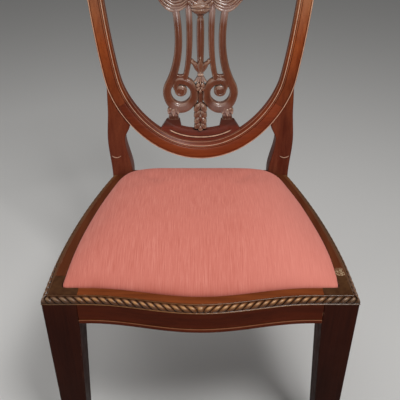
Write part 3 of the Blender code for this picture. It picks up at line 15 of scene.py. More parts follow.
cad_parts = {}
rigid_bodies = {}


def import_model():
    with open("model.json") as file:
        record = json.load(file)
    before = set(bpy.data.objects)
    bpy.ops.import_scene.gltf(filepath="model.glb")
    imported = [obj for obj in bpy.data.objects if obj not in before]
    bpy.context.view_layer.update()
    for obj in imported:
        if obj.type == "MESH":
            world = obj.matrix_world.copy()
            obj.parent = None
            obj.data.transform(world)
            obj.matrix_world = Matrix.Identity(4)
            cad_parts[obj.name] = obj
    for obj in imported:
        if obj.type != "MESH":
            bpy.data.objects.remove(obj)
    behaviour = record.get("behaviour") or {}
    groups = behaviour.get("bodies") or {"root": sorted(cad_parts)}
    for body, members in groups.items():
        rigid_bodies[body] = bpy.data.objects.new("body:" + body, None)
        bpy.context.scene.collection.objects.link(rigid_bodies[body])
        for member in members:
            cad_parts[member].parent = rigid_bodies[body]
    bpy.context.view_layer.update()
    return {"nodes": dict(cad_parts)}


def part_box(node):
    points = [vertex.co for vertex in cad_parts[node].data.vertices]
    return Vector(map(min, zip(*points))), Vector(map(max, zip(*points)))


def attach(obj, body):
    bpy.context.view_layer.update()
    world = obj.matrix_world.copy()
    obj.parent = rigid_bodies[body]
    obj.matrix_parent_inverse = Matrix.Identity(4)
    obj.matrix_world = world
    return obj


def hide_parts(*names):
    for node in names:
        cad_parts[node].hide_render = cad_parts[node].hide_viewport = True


for leftover in list(bpy.data.objects):
    bpy.data.objects.remove(leftover, do_unlink=True)

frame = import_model()
nodes = frame["nodes"]

# Camera, as the photograph was taken
PICTURE_WIDTH = 400          # pixels
FOCAL_PIXELS = 583.0
CAMERA_PITCH = 33.8          # degrees below level
CAMERA_PLACE = (-0.0009, -0.9946, 1.149)
SENSOR_WIDTH = 36.0          # millimetres

# Floor and room
FLOOR_REACH = 8.0
FLOOR_COLOUR = (0.78, 0.77, 0.75, 1.0)
ROOM_COLOUR = (0.8, 0.8, 0.8, 1.0)
ROOM_LIGHT = 0.16

# Levels and places read from the frame
FRONT_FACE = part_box("front_leg_left")[0].y
FRONT_HALF_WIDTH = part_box("front_leg_right")[1].x
SEAT_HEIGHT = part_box("front_rail")[1].z
RAIL_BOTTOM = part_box("front_rail")[0].z
CREST_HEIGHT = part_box("crest_rail")[1].z
SHIELD_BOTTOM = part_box("shield_lower_rail")[0].z
FRAME_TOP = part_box("seat_frame_front")[1].z
FRAME_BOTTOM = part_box("seat_frame_front")[0].z

# Seat frame, as in the solids
SEAT_DEPTH = 0.412
REAR_HALF_WIDTH = 0.203
SIDE_START_SLOPE = 0.02
SERPENTINE_RISE = 0.0225
SERPENTINE_HALF_SPAN = 0.200
CLEARANCE = 0.0003
MITRE_GAP = 0.0004

# Posts
POST_WIDTH = 0.047
POST_DEPTH = 0.040
REAR_FOOT = 0.034
FOOT_SWEEP = 0.055
STILE_WAIST_WIDTH = 0.039
STILE_WAIST_LIFT = 0.085
STILE_SWELL = 0.006
STILE_RECESS = 0.003
STILE_DEPTH = 0.025
STILE_MEETING_FALL = 0.038   # below the lower joint, where the stile comes up to the shield
STILE_LAP_LIFT = 0.004       # above the lower joint, where it runs on into the shield's side
STILE_LAP = 0.008            # how far in it runs there
POST_ROUNDING = 0.003

# Shield
BACK_RAKE = 0.092
BACK_CURVE = 0.35
KNEE = (0.2045, SEAT_HEIGHT + 0.2095)
SHOULDER = (0.2353, SEAT_HEIGHT + 0.427)
SHOULDER_RADIUS = 0.048
LOWER_JOINT = SEAT_HEIGHT + 0.159
BAND_BOTTOM_WIDTH = 0.039
BAND_SIDE_WIDTH = 0.0315
CREST_WIDTH = 0.046
BAND_DEPTH = 0.026

# Splat
SPLAT_RECESS = STILE_RECESS  # the face of the splat lies as deep as that of the stiles
SPLAT_THICKNESS = 0.014
BAR_TOP = SEAT_HEIGHT + 0.367
OUTER_BAR_X = 0.0505
INNER_BAR_X = 0.0245
BAR_HALF_WIDTH = 0.0076
SCROLL = (0.0425, SEAT_HEIGHT + 0.191)
SCROLL_RADIUS = 0.0305
SCROLL_BAND = 0.0088
SCROLL_START = 28.0          # degrees, where the bar runs into the scroll
SCROLL_TURN = 760.0          # degrees that the scroll winds from there to the end in its eye
EYE = (SCROLL[0] - 0.0005, SCROLL[1] + 0.0040)
EYE_RADIUS = 0.0128
REED_HALF_WIDTH = 0.0081
STEM_RING = SCROLL[1] + 1.32 * SCROLL_RADIUS
BASE_MIDDLE_HEIGHT = 0.027
BASE_END_HEIGHT = 0.0225
BASE_HALF_WIDTH = 0.0895
BASE_END_SLOPE = 0.667
BASE_RECESS = 0.006
BASE_THICKNESS = 0.013
COLLAR_TOP = SCROLL[1] - 1.17 * SCROLL_RADIUS
COLLAR_BOTTOM = SCROLL[1] - 1.66 * SCROLL_RADIUS
FOOT_X = 0.0594
FOOT_HALF_WIDTH = 0.0135
FOOT_RISE = 0.014
SWAG_FALL = 0.0376           # below the top of the crest, the place that a swag hangs from
URN_HALF_WIDTH = 0.0235
CARVING_VOXEL = 0.00062      # grain of the carved surface
CARVING_SHARE = 0.27         # share of the carved surface's faces that is kept

# Rope edge
ROPE_HEIGHT = 0.0130
ROPE_SEAT = 0.0115
ROPE_PROUD = 0.0006
ROPE_PITCH = 0.014
ROPE_RUN = 0.0125            # how far a lobe runs along the edge from its foot to its top
ROPE_CUT = 0.40              # share of the rope's round that is cut away between two lobes
ROPE_BEAD = 0.0022           # thin edges below the rope and behind it
ROPE_WIDENING = 0.0042       # by which the edge behind a side rope grows wider behind the leg
ROPE_WIDENING_RUN = 0.10
ROPE_STEP = 0.0009           # spacing of the rope's rings
ROPE_CORNER = 1.15 * ROPE_SEAT

# Front rail
FRONT_LEG_TOP = 0.0615
RAIL_THICKNESS = 0.041
RAIL_BORDER = 0.0295
REBATE_DEPTH = 0.022
RAIL_BEAD_HEIGHT = 0.008
RAIL_BEAD_PROUD = 0.0018

# Drop-in seat
SEAT_PLAY = 0.0008
REAR_RAIL_SETBACK = 0.014
REAR_LEDGE = 0.012
FRONT_CORNER_RADIUS = 0.007
REAR_CORNER_RADIUS = 0.045
COVER_THICKNESS = 0.0012
COVER_TURN = 0.018
DUST_CLOTH_THICKNESS = 0.0006
DUST_CLOTH_SAG = 0.0015
HESSIAN_MARGIN = 0.011
HESSIAN_THICKNESS = 0.0008
CROWN = 0.046
COVER_GRID = (84, 72)        # columns and rows of the cover's faces
CLOTH_GRID = (40, 34)        # and of the flat cloths'
PUFF_FRAMES = 20             # length of the cloth simulation
PUFF_LIMIT = 0.005           # farthest that it moves a point

# Edges drawn sharp, in degrees of turn
CREASE = 38.0
CARVED_CREASE = 60.0
CLOTH_CREASE = 80.0

# Directions of the grain
ACROSS, ALONG, UPRIGHT = range(3)

SCUFF = (0.257, -0.182, SEAT_HEIGHT)  # worn spot on the right side rail, just behind the leg
SCREWED_RAILS = ("front_rail", "side_rail_front", "side_rail_rear", "rear_rail")

WELL_REAR = SEAT_DEPTH - REAR_RAIL_SETBACK + REAR_LEDGE
POST_FACE = SEAT_DEPTH + STILE_RECESS


# Mesh helpers

def link(name, data):
    """A new object in the scene."""
    item = bpy.data.objects.new(name, data)
    bpy.context.scene.collection.objects.link(item)
    return item


def modify(piece, name, kind, **settings):
    """Adds a modifier to a piece."""
    modifier = piece.modifiers.new(name, kind)
    for setting, value in settings.items():
        setattr(modifier, setting, value)


def smooth_faces(mesh, crease):
    mesh.shade_smooth()
    mesh.set_sharp_from_angle(angle=math.radians(crease))


def write_wear(mesh, values):
    layer = mesh.attributes.get("wear") or mesh.attributes.new("wear", 'FLOAT', 'POINT')
    layer.data.foreach_set("value", values)


def add_piece(name, shape, material, crease=CREASE):
    """A mesh object from a shape, facing out.

    A shape is its points, its faces and its points' wear: 1 where they are rubbed bare, -1 where grimy; the
    wear also carries painted highlights towards 1 and painted shade towards -1.
    """
    points, faces, wear = shape
    mesh = bpy.data.meshes.new(name)
    mesh.from_pydata([tuple(point) for point in points], [], faces)
    work = bmesh.new()
    work.from_mesh(mesh)
    bmesh.ops.recalc_face_normals(work, faces=work.faces)
    work.to_mesh(mesh)
    work.free()
    write_wear(mesh, wear)
    smooth_faces(mesh, crease)
    mesh.materials.append(material)
    return link(name, mesh)


def bake_modifiers(item, crease=CREASE):
    """Replaces an object's mesh by what its modifiers make of it."""
    bpy.context.view_layer.update()
    evaluated = item.evaluated_get(bpy.context.evaluated_depsgraph_get())
    mesh = bpy.data.meshes.new_from_object(evaluated)
    item.modifiers.clear()
    item.data = mesh
    smooth_faces(mesh, crease)


def unworn(points, faces):
    return points, faces, [0.0] * len(points)


def joined(shapes):
    """Several shapes as one."""
    points = []
    faces = []
    wear = []
    for shape_points, shape_faces, shape_wear in shapes:
        start = len(points)
        points += shape_points
        faces += [tuple(start + corner for corner in face) for face in shape_faces]
        wear += shape_wear
    return points, faces, wear


def copy_wear(mesh, shapes):
    """Gives a fused mesh the wear of the shapes that it was made from, point by point."""
    points, _, values = joined(shapes)
    same_place = 0.000002
    tree = KDTree(len(points))
    for number, point in enumerate(points):
        tree.insert(point, number)
    tree.balance()
    nearest = [tree.find(vertex.co) for vertex in mesh.vertices]
    write_wear(mesh, [values[number] if gap < same_place else 0.0 for _, number, gap in nearest])


def add_fused(name, shapes, material):
    """One closed piece from several overlapping shapes, with crisp joins."""
    piece = add_piece(name, shapes[0], material)
    tools = [add_piece(f"{name}.tool{number}", shape, material) for number, shape in enumerate(shapes[1:])]
    for tool in tools:
        modify(piece, tool.name, 'BOOLEAN', operation='UNION', solver='EXACT', object=tool)
    bake_modifiers(piece)
    copy_wear(piece.data, shapes)
    for tool in tools:
        bpy.data.objects.remove(tool, do_unlink=True)
    return piece


def add_carved(name, shapes, material):
    """One closed piece from many overlapping shapes, worn soft where they meet."""
    piece = add_piece(name, joined(shapes), material)
    modify(piece, "fuse", 'REMESH', mode='VOXEL', voxel_size=CARVING_VOXEL)
    modify(piece, "wear", 'SMOOTH', factor=0.5, iterations=2)
    modify(piece, "thin", 'DECIMATE', ratio=CARVING_SHARE)
    bake_modifiers(piece, CARVED_CREASE)
    return piece


def loft(rings):
    """A solid skinned over closed rings of equal length."""
    count = len(rings[0])
    points = [point for ring in rings for point in ring]
    last = len(points) - count
    faces = []
    for row in range(0, last, count):
        for place in range(count):
            after = (place + 1) % count
            faces.append((row + place, row + after, row + count + after, row + count + place))
    faces.append(tuple(range(count - 1, -1, -1)))
    faces.append(tuple(range(last, len(points))))
    return unworn(points, faces)


def worn_loft(rings):
    """A loft whose ring points come in pairs with their wear."""
    points, faces, _ = loft([[point for point, wear in ring] for ring in rings])
    return points, faces, [wear for ring in rings for point, wear in ring]


def stand_for(piece, slot, body, *replaced):
    """Puts a piece on its body in place of the CAD nodes that it stands for."""
    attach(piece, body)
    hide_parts(*replaced)


def add_lofted(name, rings, material, slot, replaced, crease=CREASE):
    """A lofted piece of the chair's frame, in place of one CAD node."""
    stand_for(add_piece(name, worn_loft(rings), material, crease), slot, "chair_frame", replaced)


# Curves, as in the solids

def blend(first, last, share):
    return first + (last - first) * share


def ease(share):
    share = min(max(share, 0.0), 1.0)
    return share * share * (3.0 - 2.0 * share)


def steps_between(start, end, count):
    return [blend(start, end, step / count) for step in range(count + 1)]


def shares_of(count):
    return steps_between(0.0, 1.0, count)


def bezier(controls, steps):
    result = []
    for share in shares_of(steps):
        level = [Vector(point) for point in controls]
        while len(level) > 1:
            level = [blend(start, end, share) for start, end in zip(level, level[1:])]
        result.append(level[0])
    return result


def through(keys, value):
    """Smooth interpolation through sorted pairs of position and value."""
    if value <= keys[0][0]:
        return keys[0][1]
    for (start, low), (end, high) in zip(keys, keys[1:]):
        if value <= end:
            return blend(low, high, ease((value - start) / (end - start)))
    return keys[-1][1]


def side_x(depth):
    fall = FRONT_HALF_WIDTH - REAR_HALF_WIDTH
    bend = (fall - SIDE_START_SLOPE * SEAT_DEPTH) / SEAT_DEPTH ** 2
    return FRONT_HALF_WIDTH - SIDE_START_SLOPE * depth - bend * depth ** 2


def front_y(x):
    share = min(abs(x) / SERPENTINE_HALF_SPAN, 1.0)
    return -SERPENTINE_RISE * 0.5 * (1.0 + math.cos(math.pi * share))


def back_y(height):
    if height >= SEAT_HEIGHT:
        share = (height - SEAT_HEIGHT) / (CREST_HEIGHT - SEAT_HEIGHT)
        return SEAT_DEPTH + BACK_RAKE * ((1.0 - BACK_CURVE) * share + BACK_CURVE * share ** 2)
    share = max(RAIL_BOTTOM - height, 0.0) / RAIL_BOTTOM
    return SEAT_DEPTH + FOOT_SWEEP * share ** 1.7


def at(x, depth, height):
    """A point in the frame from its place across, its depth and its height."""
    return Vector((x, FRONT_FACE + depth, height))


def on_back(x, height, depth):
    """A point of the back at a depth behind the shield's front plane."""
    return at(x, back_y(height) + depth, height)


class Line:
    """A flat line measured by its length."""

    def __init__(self, points):
        self.points = points
        self.lengths = [0.0]
        for start, end in zip(points, points[1:]):
            self.lengths.append(self.lengths[-1] + (end - start).length)
        self.total = self.lengths[-1]

    def find(self, length):
        """Number of the point that ends the stretch with a length on it, and the length's share of it."""
        place = 1
        while place < len(self.points) - 1 and self.lengths[place] < length:
            place += 1
        start = self.lengths[place - 1]
        return place, (length - start) / (self.lengths[place] - start)

    def spaced(self, count):
        """Points at equal steps of length."""
        found = [self.find(length) for length in steps_between(0.0, self.total, count)]
        return [blend(self.points[place - 1], self.points[place], share) for place, share in found]


# Shield

def shield_half_outline():
    """Right half of the shield's outer edge, from the lowest point to the top of the crest."""
    shoulder_end = SHOULDER[0] - SHOULDER_RADIUS
    shoulder_top = SHOULDER[1] + SHOULDER_RADIUS
    handle = 0.55 * SHOULDER_RADIUS
    lean = 0.0014
    lower_rise = KNEE[1] - SHIELD_BOTTOM
    side_rise = SHOULDER[1] - KNEE[1]
    lower = bezier([(0.0, SHIELD_BOTTOM), (0.53 * KNEE[0], SHIELD_BOTTOM),
                    (0.915 * KNEE[0], KNEE[1] - 0.41 * lower_rise), KNEE], 60)
    side = bezier([KNEE, (blend(KNEE[0], SHOULDER[0], 0.36), KNEE[1] + 0.2 * side_rise),
                   (SHOULDER[0] - lean, SHOULDER[1] - 0.2 * side_rise), SHOULDER], 60)
    shoulder = bezier([SHOULDER, (SHOULDER[0] + lean, SHOULDER[1] + handle),
                       (shoulder_end + handle, shoulder_top), (shoulder_end, shoulder_top)], 36)
    crest = bezier([(shoulder_end, shoulder_top), (0.76 * shoulder_end, shoulder_top),
                    (0.45 * shoulder_end, CREST_HEIGHT), (0.0, CREST_HEIGHT)], 60)
    return lower + side[1:] + shoulder[1:] + crest[1:]


class Shield(Line):
    """The shield's outer edge, on the right half of the back."""

    def __init__(self):
        super().__init__(shield_half_outline())
        inner = [(after - before).normalized() for before, after in zip(self.points, self.points[2:])]
        self.tangents = [Vector((1.0, 0.0))] + inner + [Vector((-1.0, 0.0))]
        self.lower_joint = self.length_at_height(LOWER_JOINT)
        self.upper_joint = self.length_at_height(SHOULDER[1])

    def length_at_height(self, height):
        for place in range(1, len(self.points)):
            low = self.points[place - 1].y
            high = self.points[place].y
            if low < height <= high:
                share = (height - low) / (high - low)
                return blend(self.lengths[place - 1], self.lengths[place], share)
        return self.total

    def edge(self, length):
        """Point and inward direction at a length along the outer edge."""
        place, share = self.find(length)
        along = blend(self.tangents[place - 1], self.tangents[place], share).normalized()
        return blend(self.points[place - 1], self.points[place], share), Vector((-along.y, along.x))

    def width(self, length):
        if length < self.upper_joint:
            share = 1.0 - length / self.upper_joint
            return BAND_SIDE_WIDTH + (BAND_BOTTOM_WIDTH - BAND_SIDE_WIDTH) * share ** 2
        share = (length - self.upper_joint) / (self.total - self.upper_joint)
        return blend(BAND_SIDE_WIDTH, CREST_WIDTH, ease(share))

    def place(self, length, across, depth, side):
        point, inward = self.edge(length)
        flat = point + inward * across
        return on_back(side * flat.x, flat.y, depth)

    def outer_x(self, height):
        return self.edge(self.length_at_height(height))[0].x


shield = Shield()


def half_round(start, end, base, peak, steps):
    """A bead in section, from start to end across, rising from a base depth to a peak."""
    result = []
    for share in shares_of(steps):
        across = blend(start, end, 0.5 - 0.5 * math.cos(math.pi * share))
        result.append((across, base + (peak - base) * math.sin(math.pi * share)))
    return result


def both_ways(keys):
    """Offset, rise and wear up to a middle, and the same mirrored after it."""
    return keys + [(-offset, rise, wear) for offset, rise, wear in reversed(keys[:-1])]


def ridge(start, end, base, peak):
    """A sharp bead in section, pale along its top from wear and a painted highlight."""
    keys = both_ways([(-0.50, 0.0, 0.0), (-0.28, 0.62, 0.10), (-0.10, 0.95, 0.90), (0.0, 1.0, 1.0)])
    return [(blend(start, end, 0.5 + offset), blend(base, peak, rise), wear) for offset, rise, wear in keys]


def plain(points, wear=0.0):
    return [(across, depth, wear) for across, depth in points]


def band_section(width):
    """Moulded section of the shield: distance in from the outer edge, depth, and wear; the wear also paints
    highlights on the beads and the inner edge, and painted shade in the quirks, the hollow and the inner
    flank.
    """
    bead = 0.0030
    bead_foot = 0.0020
    quirk = 0.0027
    easing = 0.0012
    corner = 0.0040
    flank = width - 0.0028 - 0.5 * max(width - BAND_SIDE_WIDTH, 0.0)
    section = ridge(0.0, bead, bead_foot, peak=0.0) + plain([(0.0035, 0.0026)], wear=-0.9)
    section += plain(half_round(corner, flank - 0.0078, base=0.0016, peak=0.0006, steps=8))
    section += plain([(flank - 0.0073, quirk)], wear=-1.0)
    small_bead = half_round(flank - 0.0068, flank - 0.0038, base=0.0019, peak=0.0010, steps=5)
    section += plain(small_bead, wear=0.05)
    section += plain([(flank - 0.0034, quirk)], wear=-1.0)
    section += ridge(flank - bead, flank, bead_foot, peak=0.0)
    hollow = [(blend(flank, width, 0.25), 0.0028), (blend(flank, width, 0.8), 0.0046)]
    section += plain(hollow, wear=-0.35)
    section += [(width - 0.0003, 0.0052, 0.35), (width, 0.0060, 0.25), (width, 0.0080, -0.2)]
    back = [(0.0, BAND_DEPTH - corner), (easing, BAND_DEPTH - easing), (corner, BAND_DEPTH)]
    return section + plain([(width - across, depth) for across, depth in back] + back[::-1])


def band_rings(lengths, side):
    rings = []
    for length in lengths:
        section = band_section(shield.width(length))
        rings.append([(shield.place(length, across, depth, side), wear) for across, depth, wear in section])
    return rings


def add_shield_rails(material):
    """Lower rail and crest rail, each from side to side."""
    lower = steps_between(0.0, shield.lower_joint, 60)
    add_lofted("shield_lower_rail_moulded", band_rings(lower[:0:-1], -1) + band_rings(lower, 1),
               material, "mahogany", "shield_lower_rail")
    shoulder = steps_between(shield.upper_joint, shield.upper_joint + 1.7 * SHOULDER_RADIUS, 26)
    crest = shoulder[:-1] + steps_between(shoulder[-1], shield.total, 30)
    add_lofted("crest_rail_moulded", band_rings(crest, 1) + band_rings(crest[-2::-1], -1),
               material, "mahogany", "crest_rail")


# Posts

def stile_edges(height):
    """Outer and inner edge of a post below and beside the shield."""
    waist = SEAT_HEIGHT + STILE_WAIST_LIFT
    waist_outer = REAR_HALF_WIDTH + STILE_SWELL
    meeting = LOWER_JOINT - STILE_MEETING_FALL
    outer = through([(0.0, REAR_HALF_WIDTH), (SEAT_HEIGHT, REAR_HALF_WIDTH), (waist, waist_outer),
                     (LOWER_JOINT, KNEE[0]), (KNEE[1], KNEE[0] - 0.001)], height)
    inner = through([(0.0, REAR_HALF_WIDTH - REAR_FOOT), (RAIL_BOTTOM, REAR_HALF_WIDTH - POST_WIDTH),
                     (SEAT_HEIGHT, REAR_HALF_WIDTH - POST_WIDTH), (waist, waist_outer - STILE_WAIST_WIDTH),
                     (meeting, shield.outer_x(meeting))], height)
    if height > meeting:
        inner = shield.outer_x(height) + 2 * CLEARANCE
    if height > LOWER_JOINT + STILE_LAP_LIFT:
        inner = shield.outer_x(height) - STILE_LAP
    return outer, inner


def rounded_ring(low, high, radius, steps=4):
    """A rectangle with rounded corners, given by two corners."""
    centres = [(low[0] + radius, low[1] + radius, 180), (high[0] - radius, low[1] + radius, 270),
               (high[0] - radius, high[1] - radius, 0), (low[0] + radius, high[1] - radius, 90)]
    ring = []
    for x, y, start in centres:
        for angle in steps_between(start, start + 90, steps):
            turn = math.radians(angle)
            ring.append((x + radius * math.cos(turn), y + radius * math.sin(turn)))
    return ring


def post_shape(side):
    heights = (steps_between(0.0, RAIL_BOTTOM, 16) + steps_between(SEAT_HEIGHT, LOWER_JOINT, 30)
               + [LOWER_JOINT + 0.010] + steps_between(LOWER_JOINT + 0.022, KNEE[1] + 0.004, 4))
    rings = []
    for height in heights:
        outer, inner = stile_edges(height)
        back = through([(0.0, STILE_RECESS + REAR_FOOT), (RAIL_BOTTOM, STILE_RECESS + POST_DEPTH),
                        (SEAT_HEIGHT, STILE_RECESS + POST_DEPTH), (KNEE[1], STILE_DEPTH)], height)
        ring = rounded_ring((inner, STILE_RECESS), (outer, back), min(POST_ROUNDING, 0.3 * (outer - inner)))
        rings.append([on_back(side * x, height, depth) for x, depth in ring])
    return loft(rings)


def crescent_shape(side):
    """Small curved stop across the front of a stile, painted pale as a highlight."""
    middle = Vector((REAR_HALF_WIDTH - 0.0115, SEAT_HEIGHT + 0.0425))
    reach = 0.0105
    bow = 0.0045
    thin = 0.0003
    swell = 0.0008
    # This wear is a painted highlight on the stop.
    wear = 0.45
    shares = steps_between(-1.0, 1.0, 12)
    path = [middle + Vector((reach * share, bow * share * share)) for share in shares]
    halves = [thin + swell * math.sqrt(max(1.0 - share * share, 0.0)) for share in shares]
    points, faces, _ = strip(on_side(path, side), halves, crown=0.0014, front=-0.0015, back=0.002)
    return points, faces, [wear] * len(points)


def add_post(name, side, material):
    lengths = steps_between(shield.lower_joint + MITRE_GAP, shield.upper_joint - MITRE_GAP, 56)
    shapes = [post_shape(side), worn_loft(band_rings(lengths, side)), crescent_shape(side)]
    stand_for(add_fused(f"{name}_moulded", shapes, material), "mahogany", "chair_frame", name)


# Splat

def on_splat(place, depth):
    """A point of the carving at a depth behind the splat's face."""
    return on_back(place[0], place[1], SPLAT_RECESS + depth)


def scroll_level(radii):
    """A height in scroll radii over the middle of the scrolls."""
    return SCROLL[1] + radii * SCROLL_RADIUS


def on_side(path, side):
    return [Vector((side * point[0], point[1])) for point in path]


def round_angles(count):
    return steps_between(0.0, 2.0 * math.pi, count)[:-1]


def across_path(path, place):
    """Direction across a flat path at one of its points."""
    along = path[min(place + 1, len(path) - 1)] - path[max(place - 1, 0)]
    return Vector((-along.y, along.x)).normalized()


def strip(path, halves, crown, front, back, flatness=1.4):
    """A carved strip along a flat path, with a half width at each point, rounded across its front."""
    rings = []
    for place, point in enumerate(path):
        across = across_path(path, place)
        half = halves[place]
        ring = []
        for turn in steps_between(0.0, math.pi, 8):
            depth = front + crown * (1.0 - math.sin(turn)) ** flatness
            ring.append(on_splat(point - across * (math.cos(turn) * half), depth))
        rings.append(ring + [on_splat(point + across * half, back), on_splat(point - across * half, back)])
    return loft(rings)


def turned(keys, depth_share, middle, flutes=0, flute_depth=0.0):
    """A turned form on the middle line: pairs of height and half width, fluted if asked."""
    rings = []
    for height, half in keys:
        ring = []
        for angle in round_angles(48):
            reach = half * (1.0 - flute_depth * abs(math.sin(0.5 * flutes * angle)))
            depth = middle + depth_share * reach * math.sin(angle)
            ring.append(on_splat((reach * math.cos(angle), height), depth))
        rings.append(ring)
    return loft(rings)


def petal(base, tip, half, front, crown, bend=0.0):
    """A leaf from its base to its tip, bowed to one side by bend."""
    base = Vector(base)
    tip = Vector(tip)
    across = across_path([base, tip], 0)
    shares = shares_of(12)
    path = [blend(base, tip, share) + across * (bend * math.sin(math.pi * share)) for share in shares]
    halves = [half * (0.25 + 0.75 * math.sin(math.pi * min(share / 1.06 + 0.12, 1.0))) for share in shares]
    return strip(path, halves, crown, front, back=0.8 * SPLAT_THICKNESS, flatness=1.0)


def boss(centre, wide, tall, lean, front, crown):
    """A rounded lump, oval in outline and turned by lean."""
    round_off = [(0.15, 0.02), (0.45, 0.10), (0.70, 0.28), (0.88, 0.55), (1.0, 1.0)]
    levels = [(share, front + crown * fall) for share, fall in round_off] + [(1.0, 0.9 * SPLAT_THICKNESS)]
    rings = []
    for share, depth in levels:
        ring = []
        for angle in round_angles(28):
            across = share * wide * math.cos(angle)
            up = share * tall * math.sin(angle)
            ring.append(on_splat((centre[0] + across * math.cos(lean) - up * math.sin(lean),
                                  centre[1] + across * math.sin(lean) + up * math.cos(lean)), depth))
        rings.append(ring)
    return loft(rings)


def scroll_shape(side):
    """Outer bar and scroll of the lyre as one strip that winds up on the eye."""
    turn = math.radians(SCROLL_START)
    start = (SCROLL[0] + SCROLL_RADIUS * math.cos(turn), SCROLL[1] + SCROLL_RADIUS * math.sin(turn))
    bar_steps = 24
    path = bezier([(OUTER_BAR_X + 0.002, BAR_TOP), (OUTER_BAR_X - 0.011, blend(SCROLL[1], BAR_TOP, 0.6)),
                   (OUTER_BAR_X - 0.003, scroll_level(1.75)), start], bar_steps)
    halves = [blend(BAR_HALF_WIDTH, SCROLL_BAND, ease(step / bar_steps)) for step in range(bar_steps + 1)]
    radii = [(0.0, 1.0), (40.0, 1.0), (118.0, 1.12), (170.0, 1.03), (208.0, 0.94), (298.0, 0.77),
             (390.0, 0.335), (480.0, 0.275), (570.0, 0.215), (660.0, 0.150), (SCROLL_TURN, 0.080)]
    bands = [(0.0, 1.0), (40.0, 1.02), (118.0, 1.28), (170.0, 1.10), (208.0, 0.92), (298.0, 0.98),
             (390.0, 0.46), (SCROLL_TURN, 0.34)]
    for turned_by in steps_between(5.0, SCROLL_TURN, 150):
        angle = math.radians(SCROLL_START - turned_by)
        centre = blend(Vector(SCROLL), Vector(EYE), ease((turned_by - 200.0) / 160.0))
        reach = SCROLL_RADIUS * through(radii, turned_by)
        path.append(centre + Vector((math.cos(angle), math.sin(angle))) * reach)
        halves.append(SCROLL_BAND * through(bands, turned_by))
    return strip(on_side(path, side), halves, crown=0.0044, front=0.0, back=SPLAT_THICKNESS, flatness=1.15)


def scroll_eye_shape(side):
    """Rounded ground of the eye, under the winding of the scroll."""
    return boss((side * EYE[0], EYE[1]), EYE_RADIUS, EYE_RADIUS, lean=0.0, front=-0.0002, crown=0.0046)


def inner_bar_shape(side):
    steps = 24
    path = bezier([(INNER_BAR_X + 0.001, BAR_TOP + 0.010),
                   (INNER_BAR_X - 0.005, blend(SCROLL[1], BAR_TOP, 0.6)),
                   (INNER_BAR_X, scroll_level(1.6)),
                   (SCROLL[0] - 0.006, scroll_level(0.72))], steps)
    halves = steps_between(0.92 * BAR_HALF_WIDTH, 0.75 * BAR_HALF_WIDTH, steps)
    return strip(on_side(path, side), halves, crown=0.0040, front=0.0004, back=0.0132, flatness=1.15)


def bar_web_shape(side):
    """Solid wood where the two bars run together above the scroll, hollowed round at its top."""
    top = scroll_level(1.44)
    low = scroll_level(0.8)
    corners = [(OUTER_BAR_X + 0.012, low), (INNER_BAR_X + 0.008, low)]
    for share in steps_between(-1.0, 1.0, 8):
        x = blend(INNER_BAR_X + 0.004, OUTER_BAR_X + 0.006, 0.5 + 0.5 * share)
        corners.append((x, top - 0.0065 * (1.0 - share * share)))
    rings = []
    for drop, depth in ((0.0010, 0.0014), (0.0003, 0.0018), (0.0, 0.0028), (0.0, 0.0120)):
        rings.append([on_splat((side * x, z - drop if z > low else z), depth) for x, z in corners])
    return loft(rings)


def base_top(x):
    middle = SHIELD_BOTTOM + BAND_BOTTOM_WIDTH + BASE_MIDDLE_HEIGHT
    return middle + BASE_END_HEIGHT * (x / BASE_HALF_WIDTH) ** 2


def reed_shape():
    """Rounded reed down the middle, with its bowl-shaped capital."""
    leaf = scroll_level(2.35)
    shaft = [(leaf - 0.030, 0.75), (leaf + 0.004, 0.90), (blend(leaf, BAR_TOP, 0.3), 1.0),
             (blend(leaf, BAR_TOP, 0.6), 1.0), (BAR_TOP - 0.0250, 0.90), (BAR_TOP - 0.0200, 0.66)]
    capital = [(-0.0185, 0.90), (-0.0172, 0.95), (-0.0150, 1.20), (-0.0124, 1.85), (-0.0080, 2.45),
               (-0.0040, 2.76), (-0.0030, 2.58), (-0.0020, 2.62), (-0.0008, 2.92), (0.0010, 2.98),
               (0.0028, 2.92), (0.0040, 2.60), (0.0060, 2.55)]
    keys = [(height, share * REED_HALF_WIDTH) for height, share in shaft]
    keys += [(BAR_TOP + lift, share * 0.94 * REED_HALF_WIDTH) for lift, share in capital]
    return turned(keys, depth_share=0.62, middle=0.45 * SPLAT_THICKNESS)


def core_shape():
    """Slim core that the leaves and husks of the stem are carved on."""
    foot = base_top(0.0) + CLEARANCE
    keys = [(foot, 0.0050), (foot + 0.010, 0.0080), (scroll_level(-0.95), 0.0076),
            (scroll_level(-0.70), 0.0054), (scroll_level(0.15), 0.0050),
            (STEM_RING - 0.024, 0.0070), (STEM_RING - 0.006, 0.0052), (STEM_RING + 0.006, 0.0052),
            (STEM_RING + 0.012, 0.0060)]
    return turned(keys, depth_share=0.62, middle=0.45 * SPLAT_THICKNESS)


def husk_shapes(top, bottom, half, proud):
    """A bud of two pairs of rounded leaves, one over the other, with a small tip at its end."""
    crown = 0.0042
    pairs = 2
    step = (top - bottom) / (pairs + 0.45)
    shapes = []
    for number in range(pairs):
        middle = top - (number + 0.5) * step
        front = -proud + 0.0010 * number / pairs
        for side in (1, -1):
            centre = (side * 0.48 * half, middle)
            lean = side * 0.55
            shapes.append(boss(centre, 0.44 * half, 0.76 * step, lean, front, crown))
    centre = (0.0, bottom + 0.35 * step)
    tip = boss(centre, 0.40 * half, 0.60 * step, lean=0.0, front=0.0006 - proud, crown=crown)
    return shapes + [tip]


def bell_shapes(top, bottom):
    """Bellflower under the ring: five petals that flare to a scalloped edge."""
    shapes = []
    for spread in (-1.0, -0.5, 0.0, 0.5, 1.0):
        tip = (0.0136 * spread, bottom + 0.0032 * abs(spread))
        front = -0.0026 + 0.0022 * abs(spread)
        base = (0.0026 * spread, top)
        shapes.append(petal(base, tip, half=0.0032, front=front, crown=0.0038, bend=-0.0016 * spread))
    return shapes


